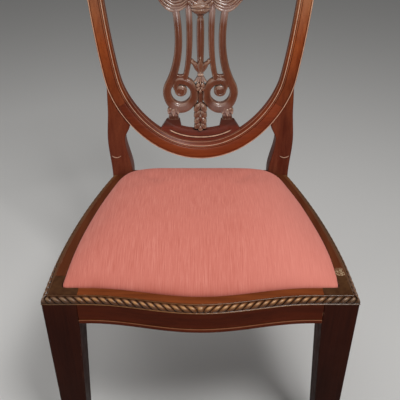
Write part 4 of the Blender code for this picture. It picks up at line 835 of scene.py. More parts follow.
def stem_leaf_shapes():
    """Leaves under the reed: a middle leaf between two that flare out to the inner bars."""
    top = scroll_level(2.22)
    low = scroll_level(1.46)
    shapes = [petal((0.0, low), (0.0, top + 0.008), half=0.0058, front=-0.0028, crown=0.0044)]
    for side in (1, -1):
        shapes.append(petal((side * 0.003, low), (side * 0.0190, top), half=0.0062, front=-0.0002,
                            crown=0.0042, bend=side * 0.0018))
        shapes.append(boss((side * 0.0170, top - 0.0030), wide=0.0038, tall=0.0064, lean=-side * 0.5,
                           front=0.0002, crown=0.0042))
    return shapes


def stem_shapes():
    """Reed, leaves, ring, bellflower and husks down the middle of the lyre."""
    foot = base_top(0.0)
    scroll_low = scroll_level(-1.0)
    husk = 0.5 * (scroll_low + 0.004 - foot)
    shapes = [reed_shape(), core_shape()] + stem_leaf_shapes()
    shapes.append(boss((0.0, STEM_RING), wide=0.0068, tall=0.0036, lean=0.0, front=-0.0040, crown=0.0044))
    shapes += bell_shapes(STEM_RING - 0.003, STEM_RING - 0.020)
    shapes += husk_shapes(STEM_RING - 0.0185, SCROLL[1] + 0.0010, half=0.0096, proud=0.0008)
    shapes += husk_shapes(scroll_low + 0.005, foot + 0.86 * husk, half=0.0146, proud=0.0032)
    shapes += husk_shapes(foot + husk, foot + 0.0008, half=0.0146, proud=0.0032)
    return shapes


def scroll_foot_shapes(side):
    """Leaf collar under the scroll, and the short foot below it down to the base."""
    start = Vector((SCROLL[0] + 0.56 * SCROLL_RADIUS, COLLAR_TOP))
    end = Vector((FOOT_X, base_top(FOOT_X) + FOOT_RISE))
    path = [blend(start, end, share) for share in (0.0, 0.35, 0.7)] + [end + Vector((0.0, 0.002)), end]
    halves = [0.0096, 0.0100, 0.0106, 0.0116, 0.0120]
    shapes = [strip(on_side(path, side), halves, crown=0.0032, front=0.0030, back=0.0122)]
    for spread in (-1.0, 0.0, 1.0):
        base = start + Vector((0.0056 * spread, 0.0020 * abs(spread)))
        tip = Vector((start.x + 0.0118 * spread, COLLAR_BOTTOM + 0.0040 * abs(spread)))
        front = -0.0014 + 0.0010 * abs(spread)
        shapes.append(petal(*on_side([base, tip], side), half=0.0054, front=front, crown=0.0040))
    return shapes


def festoon_path(side):
    """Middle line of a swag with its half widths, from the urn down over the bars and up to the crest."""
    length = shield.length_at_height(CREST_HEIGHT - SWAG_FALL)
    edge, inward = shield.edge(length)
    hang = edge + inward * (shield.width(length) + 2 * CLEARANCE)
    low = Vector((0.0535, BAR_TOP + 0.0035))
    inner = bezier([(0.016, BAR_TOP + 0.038), (0.022, BAR_TOP + 0.014), low - Vector((0.014, 0.0)), low], 16)
    outer = bezier([low, low + Vector((0.020, 0.0)), blend(low, hang, 0.42), hang + inward * 0.018,
                    hang + inward * 0.006], 30)
    path = inner + outer[1:] + [hang]
    last = len(path) - 1
    swell = [(0.0, 0.0060), (16.0, 0.0135), (0.7 * last, 0.0105), (last, 0.0070)]
    return on_side(path, side), [through(swell, place) for place in range(len(path))]


def festoon_shapes(side):
    """Gathered cloth: a full roll with five folds along it and a knotted end under the crest."""
    path, halves = festoon_path(side)
    shapes = [strip(path, halves, crown=0.0046, front=0.0012, back=0.0134)]
    for number, offset in enumerate((-0.80, -0.40, 0.0, 0.40, 0.80)):
        fold = []
        for place, point in enumerate(path):
            sway = 0.05 * math.sin(0.35 * place + 1.9 * number)
            fold.append(point + across_path(path, place) * ((offset + sway) * halves[place]))
        front = -0.0016 + 0.0020 * abs(offset)
        fold_halves = [0.235 * half for half in halves]
        shapes.append(strip(fold, fold_halves, crown=0.0032, front=front, back=0.010, flatness=1.0))
    return shapes


def middle_swag_shapes():
    """Cloth swag hung between the two knots, in two folds."""
    shares = steps_between(-1.0, 1.0, 16)
    shapes = []
    for lift, half in ((-0.0035, 0.0046), (0.0040, 0.0042)):
        path = [Vector((INNER_BAR_X * share, BAR_TOP + lift + 0.014 * share * share)) for share in shares]
        halves = [half * (1.0 - 0.35 * share * share) for share in shares]
        shapes.append(strip(path, halves, crown=0.0032, front=-0.0016, back=0.0118, flatness=1.0))
    return shapes


def urn_shapes():
    """Urn on the middle swag, with a gadrooned bowl and a finial up to the crest."""
    foot = BAR_TOP + 0.003
    rise = CREST_HEIGHT - CREST_WIDTH - 2 * CLEARANCE - foot
    stand = [(0.0, 0.64), (0.05, 0.64), (0.07, 0.50), (0.09, 0.26), (0.13, 0.21), (0.17, 0.21), (0.22, 0.51)]
    bowl = [(0.21, 0.47), (0.24, 0.62), (0.30, 0.80), (0.38, 0.93), (0.47, 1.0), (0.53, 1.0), (0.58, 0.95)]
    neck = [(0.57, 0.93), (0.60, 0.90), (0.625, 0.74), (0.645, 0.74), (0.66, 0.80), (0.70, 0.80),
            (0.73, 0.62), (0.78, 0.36), (0.83, 0.20), (0.86, 0.24), (0.90, 0.32), (0.94, 0.28),
            (0.97, 0.22), (1.0, 0.28)]
    shapes = []
    for profile, flutes, flute_depth in ((stand, 0, 0.0), (bowl, 18, 0.10), (neck, 0, 0.0)):
        keys = [(foot + rise * lift, URN_HALF_WIDTH * swell) for lift, swell in profile]
        shapes.append(turned(keys, depth_share=0.42, middle=0.42 * SPLAT_THICKNESS,
                             flutes=flutes, flute_depth=flute_depth))
    return shapes


def add_splat(material):
    shapes = stem_shapes() + middle_swag_shapes() + urn_shapes()
    for side in (1, -1):
        shapes += [scroll_shape(side), scroll_eye_shape(side), inner_bar_shape(side), bar_web_shape(side)]
        shapes += scroll_foot_shapes(side) + festoon_shapes(side)
    piece = add_carved("lyre_splat_carved", shapes, material)
    stand_for(piece, "splat_mahogany", "chair_frame", "lyre_splat")


def inner_height(x):
    """Height of the band's inner edge at a place across the lower rail."""
    before = Vector((0.0, SHIELD_BOTTOM + BAND_BOTTOM_WIDTH))
    for length in steps_between(0.0, shield.lower_joint, 160):
        point, inward = shield.edge(length)
        after = point + inward * shield.width(length)
        if after.x >= x > before.x:
            return blend(before.y, after.y, (x - before.x) / (after.x - before.x))
        before = after
    return SHIELD_BOTTOM + BAND_BOTTOM_WIDTH


def base_shape():
    """Curved segment on the lower rail, with a raised bead along its face that ends under the feet."""
    bead_half = 0.0030
    bead_rise = 0.0013
    bead_end = 0.067
    bead_fade = 0.006
    # Wear across the bead: a painted highlight along its top, painted shade at its edges.
    bead_keys = both_ways([(-0.0022, 0.8, -0.5), (-0.0015, 0.2, 0.2), (-0.0008, -0.8, 0.9), (0.0, -1.0, 1.0)])
    rings = []
    for x in steps_between(-BASE_HALF_WIDTH, BASE_HALF_WIDTH, 60):
        low = inner_height(abs(x)) + CLEARANCE
        high = base_top(x)
        lean = BASE_END_SLOPE * (abs(x) / BASE_HALF_WIDTH) ** 2 / BASE_HALF_WIDTH
        bead = blend(low, high, 0.40)
        reach = 1.0 - ease((abs(x) - bead_end) / bead_fade)
        section = plain([(low, 0.0012), (low + 0.0012, 0.0003)], wear=0.3)
        section += plain([(low + 0.0024, 0.0), (bead - bead_half, 0.0)])
        for offset, depth, wear in bead_keys:
            section.append((bead + offset, depth * (bead_rise * reach), wear * reach))
        section += plain([(bead + bead_half, 0.0), (high - 0.0016, 0.0), (high - 0.0005, 0.0005),
                          (high, 0.0018), (high, 0.0036), (high, BASE_THICKNESS), (low, BASE_THICKNESS)])
        rings.append([(on_back(x * (1.0 - lean * (height - low)), height, BASE_RECESS + depth), wear)
                      for height, depth, wear in section])
    return worn_loft(rings)


def base_foot_shape(side):
    """Flared block on the base under a scroll's foot."""
    end_low = inner_height(BASE_HALF_WIDTH)
    top = base_top(FOOT_X) + FOOT_RISE - CLEARANCE
    low = base_top(FOOT_X) - 0.5 * FOOT_RISE
    low_end, top_end = [BASE_HALF_WIDTH - BASE_END_SLOPE * (height - end_low) for height in (low, top)]
    corners = [(FOOT_X - 1.3 * FOOT_HALF_WIDTH, low), (low_end - 0.003, low),
               (top_end - 0.001, top), (FOOT_X - FOOT_HALF_WIDTH, top)]
    rings = []
    for depth in (0.0006, 0.0112):
        rings.append([on_back(side * x, z, BASE_RECESS + depth) for x, z in corners])
    return loft(rings)


def add_splat_base(material):
    shapes = [base_shape(), base_foot_shape(1), base_foot_shape(-1)]
    piece = add_fused("splat_base_moulded", shapes, material)
    stand_for(piece, "splat_mahogany", "chair_frame", "splat_base")


# Rope edge

def rope_wear_and_light(share, lobe):
    """Wear and painted light at a share of the rope's round: a painted highlight with wear on the upper part
    of the lobes, and painted shade between them and towards the foot.
    """
    # Painted highlight, with wear, on the upper part of each lobe.
    highlight_and_wear = ease((lobe - 0.74) / 0.26) * math.sin(math.pi * share ** 1.4) ** 4
    # Painted shade between the lobes and towards the foot.
    painted_shade = (1.0 - 0.5 * share) * ease((0.62 - lobe) / 0.5) + 0.3 * ease((0.40 - share) / 0.4)
    return highlight_and_wear - min(painted_shade, 1.0)


def rope_profile(length, twist, flat):
    """Section of the rope at a length: distance out from the rail's face, height over its foot, and wear.

    The edge behind the rope is as wide as flat says.
    """
    sunk = 0.0008
    swell = 0.0010
    inside = -ROPE_SEAT + CLEARANCE
    edge = inside + flat
    profile = plain([(inside, CLEARANCE), (ROPE_PROUD - swell, CLEARANCE)])
    for share, wear in ((0.2, 0.3), (0.5, 0.7), (0.8, 0.2)):
        profile.append((ROPE_PROUD - sunk + swell * math.sin(math.pi * share), ROPE_BEAD * share, wear))
    for share in shares_of(16):
        phase = (length - twist * ROPE_RUN * (share - 0.5)) / ROPE_PITCH
        across = 2.0 * (phase - math.floor(phase)) - 1.0
        lobe = math.sqrt(max(1.0 - across * across, 0.0))
        reach = 1.0 - ROPE_CUT * (1.0 - lobe) - 0.10 * abs(2.0 * share - 1.0) ** 6
        turn = 0.5 * math.pi * share
        profile.append((edge + (ROPE_PROUD - edge) * reach * math.cos(turn) ** 0.8,
                        ROPE_BEAD + (ROPE_HEIGHT - ROPE_BEAD) * reach * math.sin(turn) ** 0.8,
                        rope_wear_and_light(share, lobe)))
    for share, wear in ((0.2, 0.0), (0.5, 0.3), (0.8, 0.1)):
        height = ROPE_HEIGHT - sunk + swell * math.sin(math.pi * share)
        profile.append((edge - ROPE_BEAD * share, height, wear))
    return profile + plain([(inside, ROPE_HEIGHT - 0.0006)])


def rope_level(rise):
    return SEAT_HEIGHT - ROPE_HEIGHT + rise


def mitred(distance, out):
    """Distance from a corner, drawn in so that the rope's end lies in the mitre."""
    if distance >= ROPE_CORNER:
        return distance
    return blend(MITRE_GAP - out, ROPE_CORNER, distance / ROPE_CORNER)


def front_rope_ring(x):
    """Ring of the front rope; the twist turns outwards from the middle."""
    side = 1.0 if x >= 0.0 else -1.0
    ring = []
    for out, rise, wear in rope_profile(abs(x) + 0.5 * ROPE_PITCH, ease(abs(x) / ROPE_PITCH), ROPE_BEAD):
        place = FRONT_HALF_WIDTH - mitred(FRONT_HALF_WIDTH - abs(x), out)
        ring.append((at(side * place, front_y(min(place, FRONT_HALF_WIDTH)) - out, rope_level(rise)), wear))
    return ring


def side_rope_ring(side, depth):
    """Ring of a side rope, whose inner edge widens behind the leg."""
    flat = ROPE_BEAD + ROPE_WIDENING * ease((depth - ROPE_CORNER) / ROPE_WIDENING_RUN)
    ring = []
    for out, rise, wear in rope_profile(depth, 1.0, flat):
        place = mitred(depth, out)
        ring.append((at(side * (side_x(max(place, 0.0)) + out), place, rope_level(rise)), wear))
    return ring


def add_front_rope(material):
    count = int(2 * FRONT_HALF_WIDTH / ROPE_STEP)
    rings = [front_rope_ring(x) for x in steps_between(-FRONT_HALF_WIDTH, FRONT_HALF_WIDTH, count)]
    add_lofted("rope_front_carved", rings, material, "rope_mahogany", "rope_moulding_front", CARVED_CREASE)


def add_side_rope(name, side, material):
    end = POST_FACE - 2 * CLEARANCE
    rings = [side_rope_ring(side, depth) for depth in steps_between(0.0, end, int(end / ROPE_STEP))]
    add_lofted(f"{name}_carved", rings, material, "rope_mahogany", name, CARVED_CREASE)


# Front rail

def rail_bead():
    """Section of the bead along the rail's lower edge: distance in from the face, height, and wear; the wear
    is a painted highlight on the bead's upper shoulder and painted shade in the quirk above it.
    """
    # Painted highlight along the bead's upper shoulder.
    highlit_at = {52: 0.1, 68: 0.6, 80: 0.2}
    section = plain([(0.0045, RAIL_BOTTOM), (0.0015, RAIL_BOTTOM)])
    for angle in (-70, -50, -30, -8, 14, 34, 52, 68, 80):
        turn = math.radians(angle)
        height = RAIL_BOTTOM + RAIL_BEAD_HEIGHT * (0.5 + 0.5 * math.sin(turn))
        section.append((-RAIL_BEAD_PROUD * math.cos(turn) ** 0.7, height, highlit_at.get(angle, 0.0)))
    quirk = RAIL_BOTTOM + RAIL_BEAD_HEIGHT
    # Painted shade in the quirk above the bead.
    section += [(0.0009, quirk + 0.0004, -0.8), (0.0006, quirk + 0.0012, -0.6), (0.0, quirk + 0.0018, 0.0)]
    return section


def rail_section():
    """Section of the front rail with its rope step, border and rebate."""
    step = SEAT_HEIGHT - ROPE_HEIGHT
    ledge = SEAT_HEIGHT - REBATE_DEPTH
    nip = 0.0004
    body = [(0.0, step - 0.0006), (0.0006, step), (ROPE_SEAT, step), (ROPE_SEAT, SEAT_HEIGHT - nip),
            (ROPE_SEAT + nip, SEAT_HEIGHT), (RAIL_BORDER - 0.0010, SEAT_HEIGHT),
            (RAIL_BORDER - 0.0003, SEAT_HEIGHT - nip), (RAIL_BORDER, SEAT_HEIGHT - 0.0012),
            (RAIL_BORDER, ledge), (RAIL_THICKNESS, ledge), (RAIL_THICKNESS, RAIL_BOTTOM)]
    return rail_bead() + plain(body)


def add_front_rail(material):
    half = FRONT_HALF_WIDTH - FRONT_LEG_TOP - CLEARANCE
    rings = []
    for x in steps_between(-half, half, 90):
        rings.append([(at(x, front_y(x) + inward, height), wear) for inward, height, wear in rail_section()])
    add_lofted("front_rail_moulded", rings, material, "dark_mahogany", "front_rail")


# Drop-in seat

def mirrored(points):
    return [Vector((-point.x, point.y)) for point in reversed(points)]


def seat_outline(inset):
    """Outline of the seat opening as four edges: front, right, rear and left, corner to corner."""
    rear = WELL_REAR + RAIL_BORDER - inset
    corner = side_x(inset) - inset
    front_end = corner - FRONT_CORNER_RADIUS
    side_start = inset + FRONT_CORNER_RADIUS
    side_end = rear - REAR_CORNER_RADIUS
    rear_x = side_x(rear) - inset
    side = [Vector((side_x(depth) - inset, depth)) for depth in steps_between(side_start, side_end, 50)]
    front_turn = bezier([(front_end, inset), (corner, inset), side[0]], 8)
    rear_turn = bezier([side[-1], (rear_x, rear), (rear_x - REAR_CORNER_RADIUS, rear)], 16)
    front = [Vector((x, front_y(x) + inset)) for x in steps_between(0.0, front_end, 60)] + front_turn[1:5]
    right = front_turn[4:] + side[1:] + rear_turn[1:9]
    back = rear_turn[8:] + [Vector((0.0, rear))]
    return mirrored(front)[:-1] + front, right, back + mirrored(back)[1:], mirrored(right)


def cover_grid(inset, wide, deep):
    """Plan points of the cover, spread between its four edges."""
    front, right, rear, left = seat_outline(inset)
    front = Line(front).spaced(wide)
    rear = Line(rear[::-1]).spaced(wide)
    right = Line(right).spaced(deep)
    left = Line(left[::-1]).spaced(deep)
    rows = []
    for row, back in enumerate(shares_of(deep)):
        line = []
        for column, across in enumerate(shares_of(wide)):
            edges = blend(front[column], rear[column], back) + blend(left[row], right[row], across)
            corners = blend(blend(front[0], front[-1], across), blend(rear[0], rear[-1], across), back)
            line.append(edges - corners)
        rows.append(line)
    return rows


def grid_faces(wide, deep):
    """Faces of a grid whose points are numbered row by row."""
    faces = []
    for row in range(deep):
        for column in range(wide):
            first = row * (wide + 1) + column
            faces.append((first, first + 1, first + wide + 2, first + wide + 1))
    return faces


def rim_places(wide, deep):
    """Grid places round the rim, in order."""
    places = [(0, column) for column in range(wide)]
    places += [(row, wide) for row in range(deep)]
    places += [(deep, column) for column in range(wide, 0, -1)]
    return places + [(row, 0) for row in range(deep, 0, -1)]


def dome_height(across, back):
    """Share of the crown at a place across, and from front to back, both from -1 to 1."""
    side = (1.0 - abs(across) ** 4.5) ** 0.62
    if back < 0.0:
        return side * (1.0 - abs(back) ** 3.0) ** 0.85
    return side * (1.0 - back ** 6.0) ** 0.45


def overhang(column, row, wide, deep):
    """How far the stuffing pushes the cover out over the side rails, most on the right near the front."""
    columns = 5
    reach = 0.0
    for steps_in, side, amount in ((wide - column, 1.0, 0.0078), (column, -1.0, 0.0030)):
        if 0 < steps_in <= columns:
            reach += side * amount * (1.0 - (steps_in - 1) / columns) ** 1.5
    return reach * through([(0.0, 0.0), (0.06, 0.8), (0.20, 1.0), (0.60, 0.55), (0.85, 0.0)], row / deep)


def cover_surface(wide, deep):
    """Outer skin of the cover: dome, sides, and the edge turned under the frame."""
    inset = RAIL_BORDER + SEAT_PLAY
    edge = FRAME_TOP + CLEARANCE + COVER_THICKNESS
    under = FRAME_BOTTOM - CLEARANCE - COVER_THICKNESS
    rows = cover_grid(inset, wide, deep)
    points = []
    for row, line in enumerate(rows):
        for column, flat in enumerate(line):
            rise = CROWN * dome_height(2.0 * column / wide - 1.0, 2.0 * row / deep - 1.0)
            points.append(at(flat.x + overhang(column, row, wide, deep), flat.y, edge + rise))
    faces = grid_faces(wide, deep)
    rim = rim_places(wide, deep)
    turned_rows = cover_grid(inset + COVER_THICKNESS + COVER_TURN, wide, deep)
    levels = [(0.0, blend(edge, under, 0.34)), (0.0, blend(edge, under, 0.67)),
              (0.0, under + COVER_THICKNESS), (0.06, under), (0.5, under), (1.0, under)]
    upper = [row * (wide + 1) + column for row, column in rim]
    for inward, level in levels:
        lower = list(range(len(points), len(points) + len(rim)))
        for row, column in rim:
            flat = blend(rows[row][column], turned_rows[row][column], inward)
            points.append(at(flat.x, flat.y, level))
        faces += zip(upper, lower, lower[1:] + lower[:1], upper[1:] + upper[:1])
        upper = lower
    return unworn(points, faces)


def puff(piece, free_points):
    """Cloth simulation: air pressure under the cover, its edge held, and each move capped."""
    held = piece.vertex_groups.new(name="held")
    rest = [vertex.co.copy() for vertex in piece.data.vertices]
    for number in range(len(rest)):
        held.add([number], 0.0 if number in free_points else 1.0, 'REPLACE')
    cloth = piece.modifiers.new("cloth", 'CLOTH')
    cloth.settings.vertex_group_mass = held.name
    cloth.settings.use_pressure = True
    cloth.settings.uniform_pressure_force = 2.5
    cloth.settings.tension_stiffness = 25.0
    cloth.settings.compression_stiffness = 25.0
    cloth.settings.bending_stiffness = 0.6
    cloth.settings.effector_weights.gravity = 0.0
    cloth.collision_settings.use_collision = False
    for number in range(1, PUFF_FRAMES + 1):
        bpy.context.scene.frame_set(number)
    bake_modifiers(piece, CLOTH_CREASE)
    bpy.context.scene.frame_set(1)
    for vertex, start in zip(piece.data.vertices, rest):
        move = vertex.co - start
        if move.length > PUFF_LIMIT:
            vertex.co = start + move.normalized() * PUFF_LIMIT
    modify(piece, "even_pull", 'SMOOTH', vertex_group="held", invert_vertex_group=True, iterations=12)
    bake_modifiers(piece, CLOTH_CREASE)


def add_cover(material):
    wide, deep = COVER_GRID
    piece = add_piece("seat_cover_fabric", cover_surface(wide, deep), material, CLOTH_CREASE)
    inner_rows = [row * (wide + 1) for row in range(2, deep - 1)]
    puff(piece, {start + column for start in inner_rows for column in range(2, wide - 1)})
    modify(piece, "cloth_thickness", 'SOLIDIFY', thickness=COVER_THICKNESS, offset=-1.0)
    bake_modifiers(piece, CLOTH_CREASE)
    modify(piece, "rounding", 'SUBSURF', levels=1, render_levels=1)
    stand_for(piece, "salmon_fabric", "drop_in_seat", "seat_cover", "seat_padding")


def add_stretched_cloth(replaced, slot, material, inset, thickness, sag):
    """A flat cloth across the seat frame, cut to the frame's outline, that sags by a little or not at all."""
    wide, deep = CLOTH_GRID
    low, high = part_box(replaced)
    level = 0.5 * (low.z + high.z)
    rows = cover_grid(inset, wide, deep)
    points = []
    for row, line in enumerate(rows):
        for column, flat in enumerate(line):
            slack = math.sin(math.pi * row / deep) * math.sin(math.pi * column / wide)
            points.append(at(flat.x, flat.y, level - sag * slack))
    shape = unworn(points, grid_faces(wide, deep))
    piece = add_piece(f"{replaced}_cloth", shape, material, CLOTH_CREASE)
    modify(piece, "cloth_thickness", 'SOLIDIFY', thickness=thickness, offset=0.0)
    bake_modifiers(piece, CLOTH_CREASE)
    stand_for(piece, slot, "drop_in_seat", replaced)


def add_strap(name, material):
    """A webbing strap with softened edges, on the path of its solid."""
    mesh = nodes[name].data.copy()
    mesh.materials.clear()
    mesh.materials.append(material)
    piece = link(f"{name}_woven", mesh)
    modify(piece, "soft_edges", 'BEVEL', width=0.0004, segments=2)
    bake_modifiers(piece)
    stand_for(piece, "jute", "drop_in_seat", name)


def add_hidden_cloths(jute, dust_cloth):
    """Webbing, hessian and dust cover inside the drop-in seat."""
    straps = [f"webbing_{way}_{number}" for way in ("lengthwise", "crosswise") for number in (1, 2, 3)]
    for name in straps:
        add_strap(name, jute)
    frame_inset = RAIL_BORDER + SEAT_PLAY + COVER_THICKNESS + CLEARANCE
    add_stretched_cloth("hessian", "jute", jute, frame_inset + HESSIAN_MARGIN,
                        HESSIAN_THICKNESS, sag=0.0)
    add_stretched_cloth("dust_cover", "dust_cloth", dust_cloth, frame_inset + COVER_TURN + CLEARANCE,
                        DUST_CLOTH_THICKNESS, sag=DUST_CLOTH_SAG)


# Materials

def tone(red, green, blue):
    """A colour given as screen values, made linear."""
    result = []
    for value in (red, green, blue):
        share = value / 255.0
        result.append(share / 12.92 if share <= 0.04045 else ((share + 0.055) / 1.055) ** 2.4)
    return (*result, 1.0)


def tones(*colours):
    return [tone(*colour) for colour in colours]


class Paint:
    """A material's nodes, added and joined by short calls, with the colour that it has so far."""

    def __init__(self, name, roughness, metallic=0.0):
        self.material = bpy.data.materials.new(name)
        self.material.use_nodes = True
        self.tree = self.material.node_tree
        self.shader = self.tree.nodes["Principled BSDF"]
        self.set("Roughness", roughness)
        self.set("Metallic", metallic)
        self.place = self.node('TexCoord').outputs["Object"]
        self.colour = None

    def join(self, source, socket):
        """Links a node's output to a socket, or sets the socket to a plain value."""
        if isinstance(source, bpy.types.NodeSocket):
            self.tree.links.new(source, socket)
        else:
            socket.default_value = source

    def node(self, kind, inputs=None, **settings):
        """A new node with its settings and with what its inputs are joined to."""
        node = self.tree.nodes.new(f"ShaderNode{kind}")
        for name, value in settings.items():
            setattr(node, name, value)
        for name, source in (inputs or {}).items():
            self.join(source, node.inputs[name])
        return node

    def set(self, name, source):
        self.join(source, self.shader.inputs[name])

    def cover(self, share, colour):
        """Lays a colour over the paint as far as a share says."""
        self.colour = self.mix(share, self.colour, colour)

    def shade(self, by):
        """Multiplies the paint's colour."""
        self.colour = self.mix(1.0, self.colour, by, 'MULTIPLY')

    def done(self):
        """The material, finished with its colour."""
        self.set("Base Color", self.colour)
        return self.material

    def noise(self, scale, detail, stretch=(1.0, 1.0, 1.0)):
        mapping = self.node('Mapping', {"Scale": stretch, "Vector": self.place})
        inputs = {"Scale": scale, "Detail": detail, "Vector": mapping.outputs["Vector"]}
        return self.node('TexNoise', inputs).outputs["Fac"]

    def ramp(self, source, *stops):
        """Colours or shares along a value: pairs of place and colour."""
        node = self.node('ValToRGB', {"Fac": source})
        elements = node.color_ramp.elements
        while len(elements) < len(stops):
            elements.new(0.5)
        for element, (place, colour) in zip(elements, stops):
            element.position = place
            element.color = colour if hasattr(colour, "__len__") else (colour, colour, colour, 1.0)
        return node.outputs["Color"]

    def mottle(self, scale, detail, *stops):
        """Colours or shares in clouds."""
        return self.ramp(self.noise(scale, detail), *stops)

    def mix(self, share, first, second, kind='MIX'):
        inputs = {0: share, 6: first, 7: second}
        return self.node('Mix', inputs, data_type='RGBA', blend_type=kind).outputs[2]

    def math(self, operation, first, second):
        return self.node('Math', {0: first, 1: second}, operation=operation).outputs[0]

    def times(self, first, second):
        return self.math('MULTIPLY', first, second)

    def dot(self, first, second):
        return self.node('VectorMath', {0: first, 1: second}, operation='DOT_PRODUCT').outputs["Value"]

    def wear(self):
        """The wear that the mesh carries: 1 where it is rubbed bare, -1 where old polish fills it; it also
        carries painted highlights towards 1 and painted shade towards -1.
        """
        return self.node('Attribute', attribute_name="wear").outputs["Fac"]

    def pointiness(self):
        return self.node('NewGeometry').outputs["Pointiness"]

    def axis(self, name):
        return self.node('SeparateXYZ', {0: self.place}).outputs[name]

    def off_middle(self):
        """Distance from the chair's middle to either side."""
        return self.math('ABSOLUTE', self.axis("X"), 0.0)

    def distance(self, place):
        return self.node('VectorMath', {0: self.place, 1: place}, operation='DISTANCE').outputs["Value"]

    def openness(self, reach):
        """1 on open faces, and less in hollows and corners."""
        return self.node('AmbientOcclusion', {"Distance": reach}, samples=8).outputs["AO"]

    def edge(self, radius):
        """Above 0 along sharp edges: how far rounding them would turn the face."""
        rounded = self.node('Bevel', {"Radius": radius}, samples=6).outputs["Normal"]
        return self.math('SUBTRACT', 1.0, self.dot(rounded, self.node('NewGeometry').outputs["Normal"]))

    def facing(self, *direction):
        """1 where the face looks along a direction, and less where it turns away."""
        return self.dot(self.node('TexCoord').outputs["Normal"], direction)

    def ribs(self, direction, pitch):
        """Waves across one direction, a pitch apart."""
        inputs = {"Scale": math.pi / (10.0 * pitch), "Distortion": 0.6, "Vector": self.place}
        return self.node('TexWave', inputs, bands_direction=direction).outputs["Fac"]

    def bump(self, height, distance):
        node = self.node('Bump', {"Strength": 1.0, "Distance": distance, "Height": height})
        self.set("Normal", node.outputs["Normal"])


def grain_stretch(axis, ratio):
    return tuple(1.0 / ratio if number == axis else 1.0 for number in range(3))


def wood(name, shades, axis, roughness, gloss, shine=0.2, polish=0.28):
    """Polished wood with figure, streaks and pores along one axis."""
    dark, middle, light = shades
    paint = Paint(name, roughness)
    figure = paint.noise(30.0, 4.0, grain_stretch(axis, 10.0))
    streaks = paint.noise(190.0, 3.0, grain_stretch(axis, 28.0))
    pores = paint.noise(1100.0, 1.0, grain_stretch(axis, 22.0))
    paint.colour = paint.ramp(figure, (0.30, dark), (0.50, middle), (0.72, light))
    paint.cover(0.30, paint.ramp(streaks, (0.35, dark), (0.65, light)))
    paint.cover(paint.mottle(7.0, 2.0, (0.35, 0.0), (0.70, 0.40)), light)
    paint.cover(paint.ramp(pores, (0.28, 0.50), (0.40, 0.0)), dark)
    paint.set("Roughness", paint.mottle(40.0, 3.0, (0.3, roughness - 0.06), (0.7, roughness + 0.08)))
    paint.set("Specular IOR Level", shine)
    paint.set("Coat Weight", gloss)
    paint.set("Coat Roughness", polish)
    paint.bump(paint.math('ADD', streaks, pores), distance=0.00010)
    return paint


def worn_and_lit_parts(paint, pale_wear_and_highlight, grime_and_shade):
    """Pale from wear and painted highlight, and dark from grime and painted shade, where the mesh says so, in
    patches.
    """
    wear = paint.wear()
    patches = paint.mottle(80.0, 3.0, (0.30, 0.60), (0.55, 1.0))
    paint.cover(paint.times(paint.math('MAXIMUM', wear, 0.0), patches), pale_wear_and_highlight)
    paint.cover(paint.math('MAXIMUM', paint.times(wear, -1.0), 0.0), grime_and_shade)


def rubbed_and_highlit(paint, pale_wear_and_highlight, start, full):
    """Pale on the high points from wear and painted highlight, in patches."""
    high = paint.ramp(paint.pointiness(), (start, 0.0), (full, 1.0))
    paint.cover(paint.times(high, paint.mottle(70.0, 3.0, (0.35, 0.30), (0.62, 0.95))), pale_wear_and_highlight)


def shade_and_grime_in_hollows(paint, grime_and_shade, reach):
    """Painted shade in the hollows and corners, from ambient occlusion, which also stands for old polish
    there.
    """
    paint.cover(paint.ramp(paint.openness(reach), (0.34, 0.95), (0.88, 0.0)), grime_and_shade)


def band_wood(name, axis, shades, heights, gloss, shine, left=1.0):
    """Shield: red mahogany with beads pale from wear and painted highlight, dark quirks of painted shade,
    painted shade and sheen by height, and painted shade to the left.

    Each of the heights comes with a share of light, and with what green and blue are multiplied by there.
    """
    paint = wood(name, shades, axis, roughness=0.36, gloss=gloss, shine=shine)
    stops = [(height, (share, share * green, share * blue, 1.0)) for height, share, green, blue in heights]
    # Painted light by height: shade lower down, and on the posts a whitish painted sheen near the top.
    paint.shade(paint.ramp(paint.axis("Z"), *stops))
    # Painted shade towards the left end, down to left there.
    paint.shade(paint.ramp(paint.math('ADD', paint.axis("X"), 0.25), (0.14, left), (0.25, 1.0)))
    # Beads pale from wear and painted highlight, painted shade in the quirks.
    worn_and_lit_parts(paint, tone(236, 194, 164), tone(50, 17, 8))
    return paint.done()


def patch(paint, across, height):
    """1 in two mirrored places on the back, fading in and out over four limits across and in height."""
    shares = (0.0, 1.0, 1.0, 0.0)
    sides = paint.ramp(paint.off_middle(), *zip(across, shares))
    return paint.times(sides, paint.ramp(paint.axis("Z"), *zip(height, shares)))


def limits(level, *offsets):
    return [level + offset for offset in offsets]


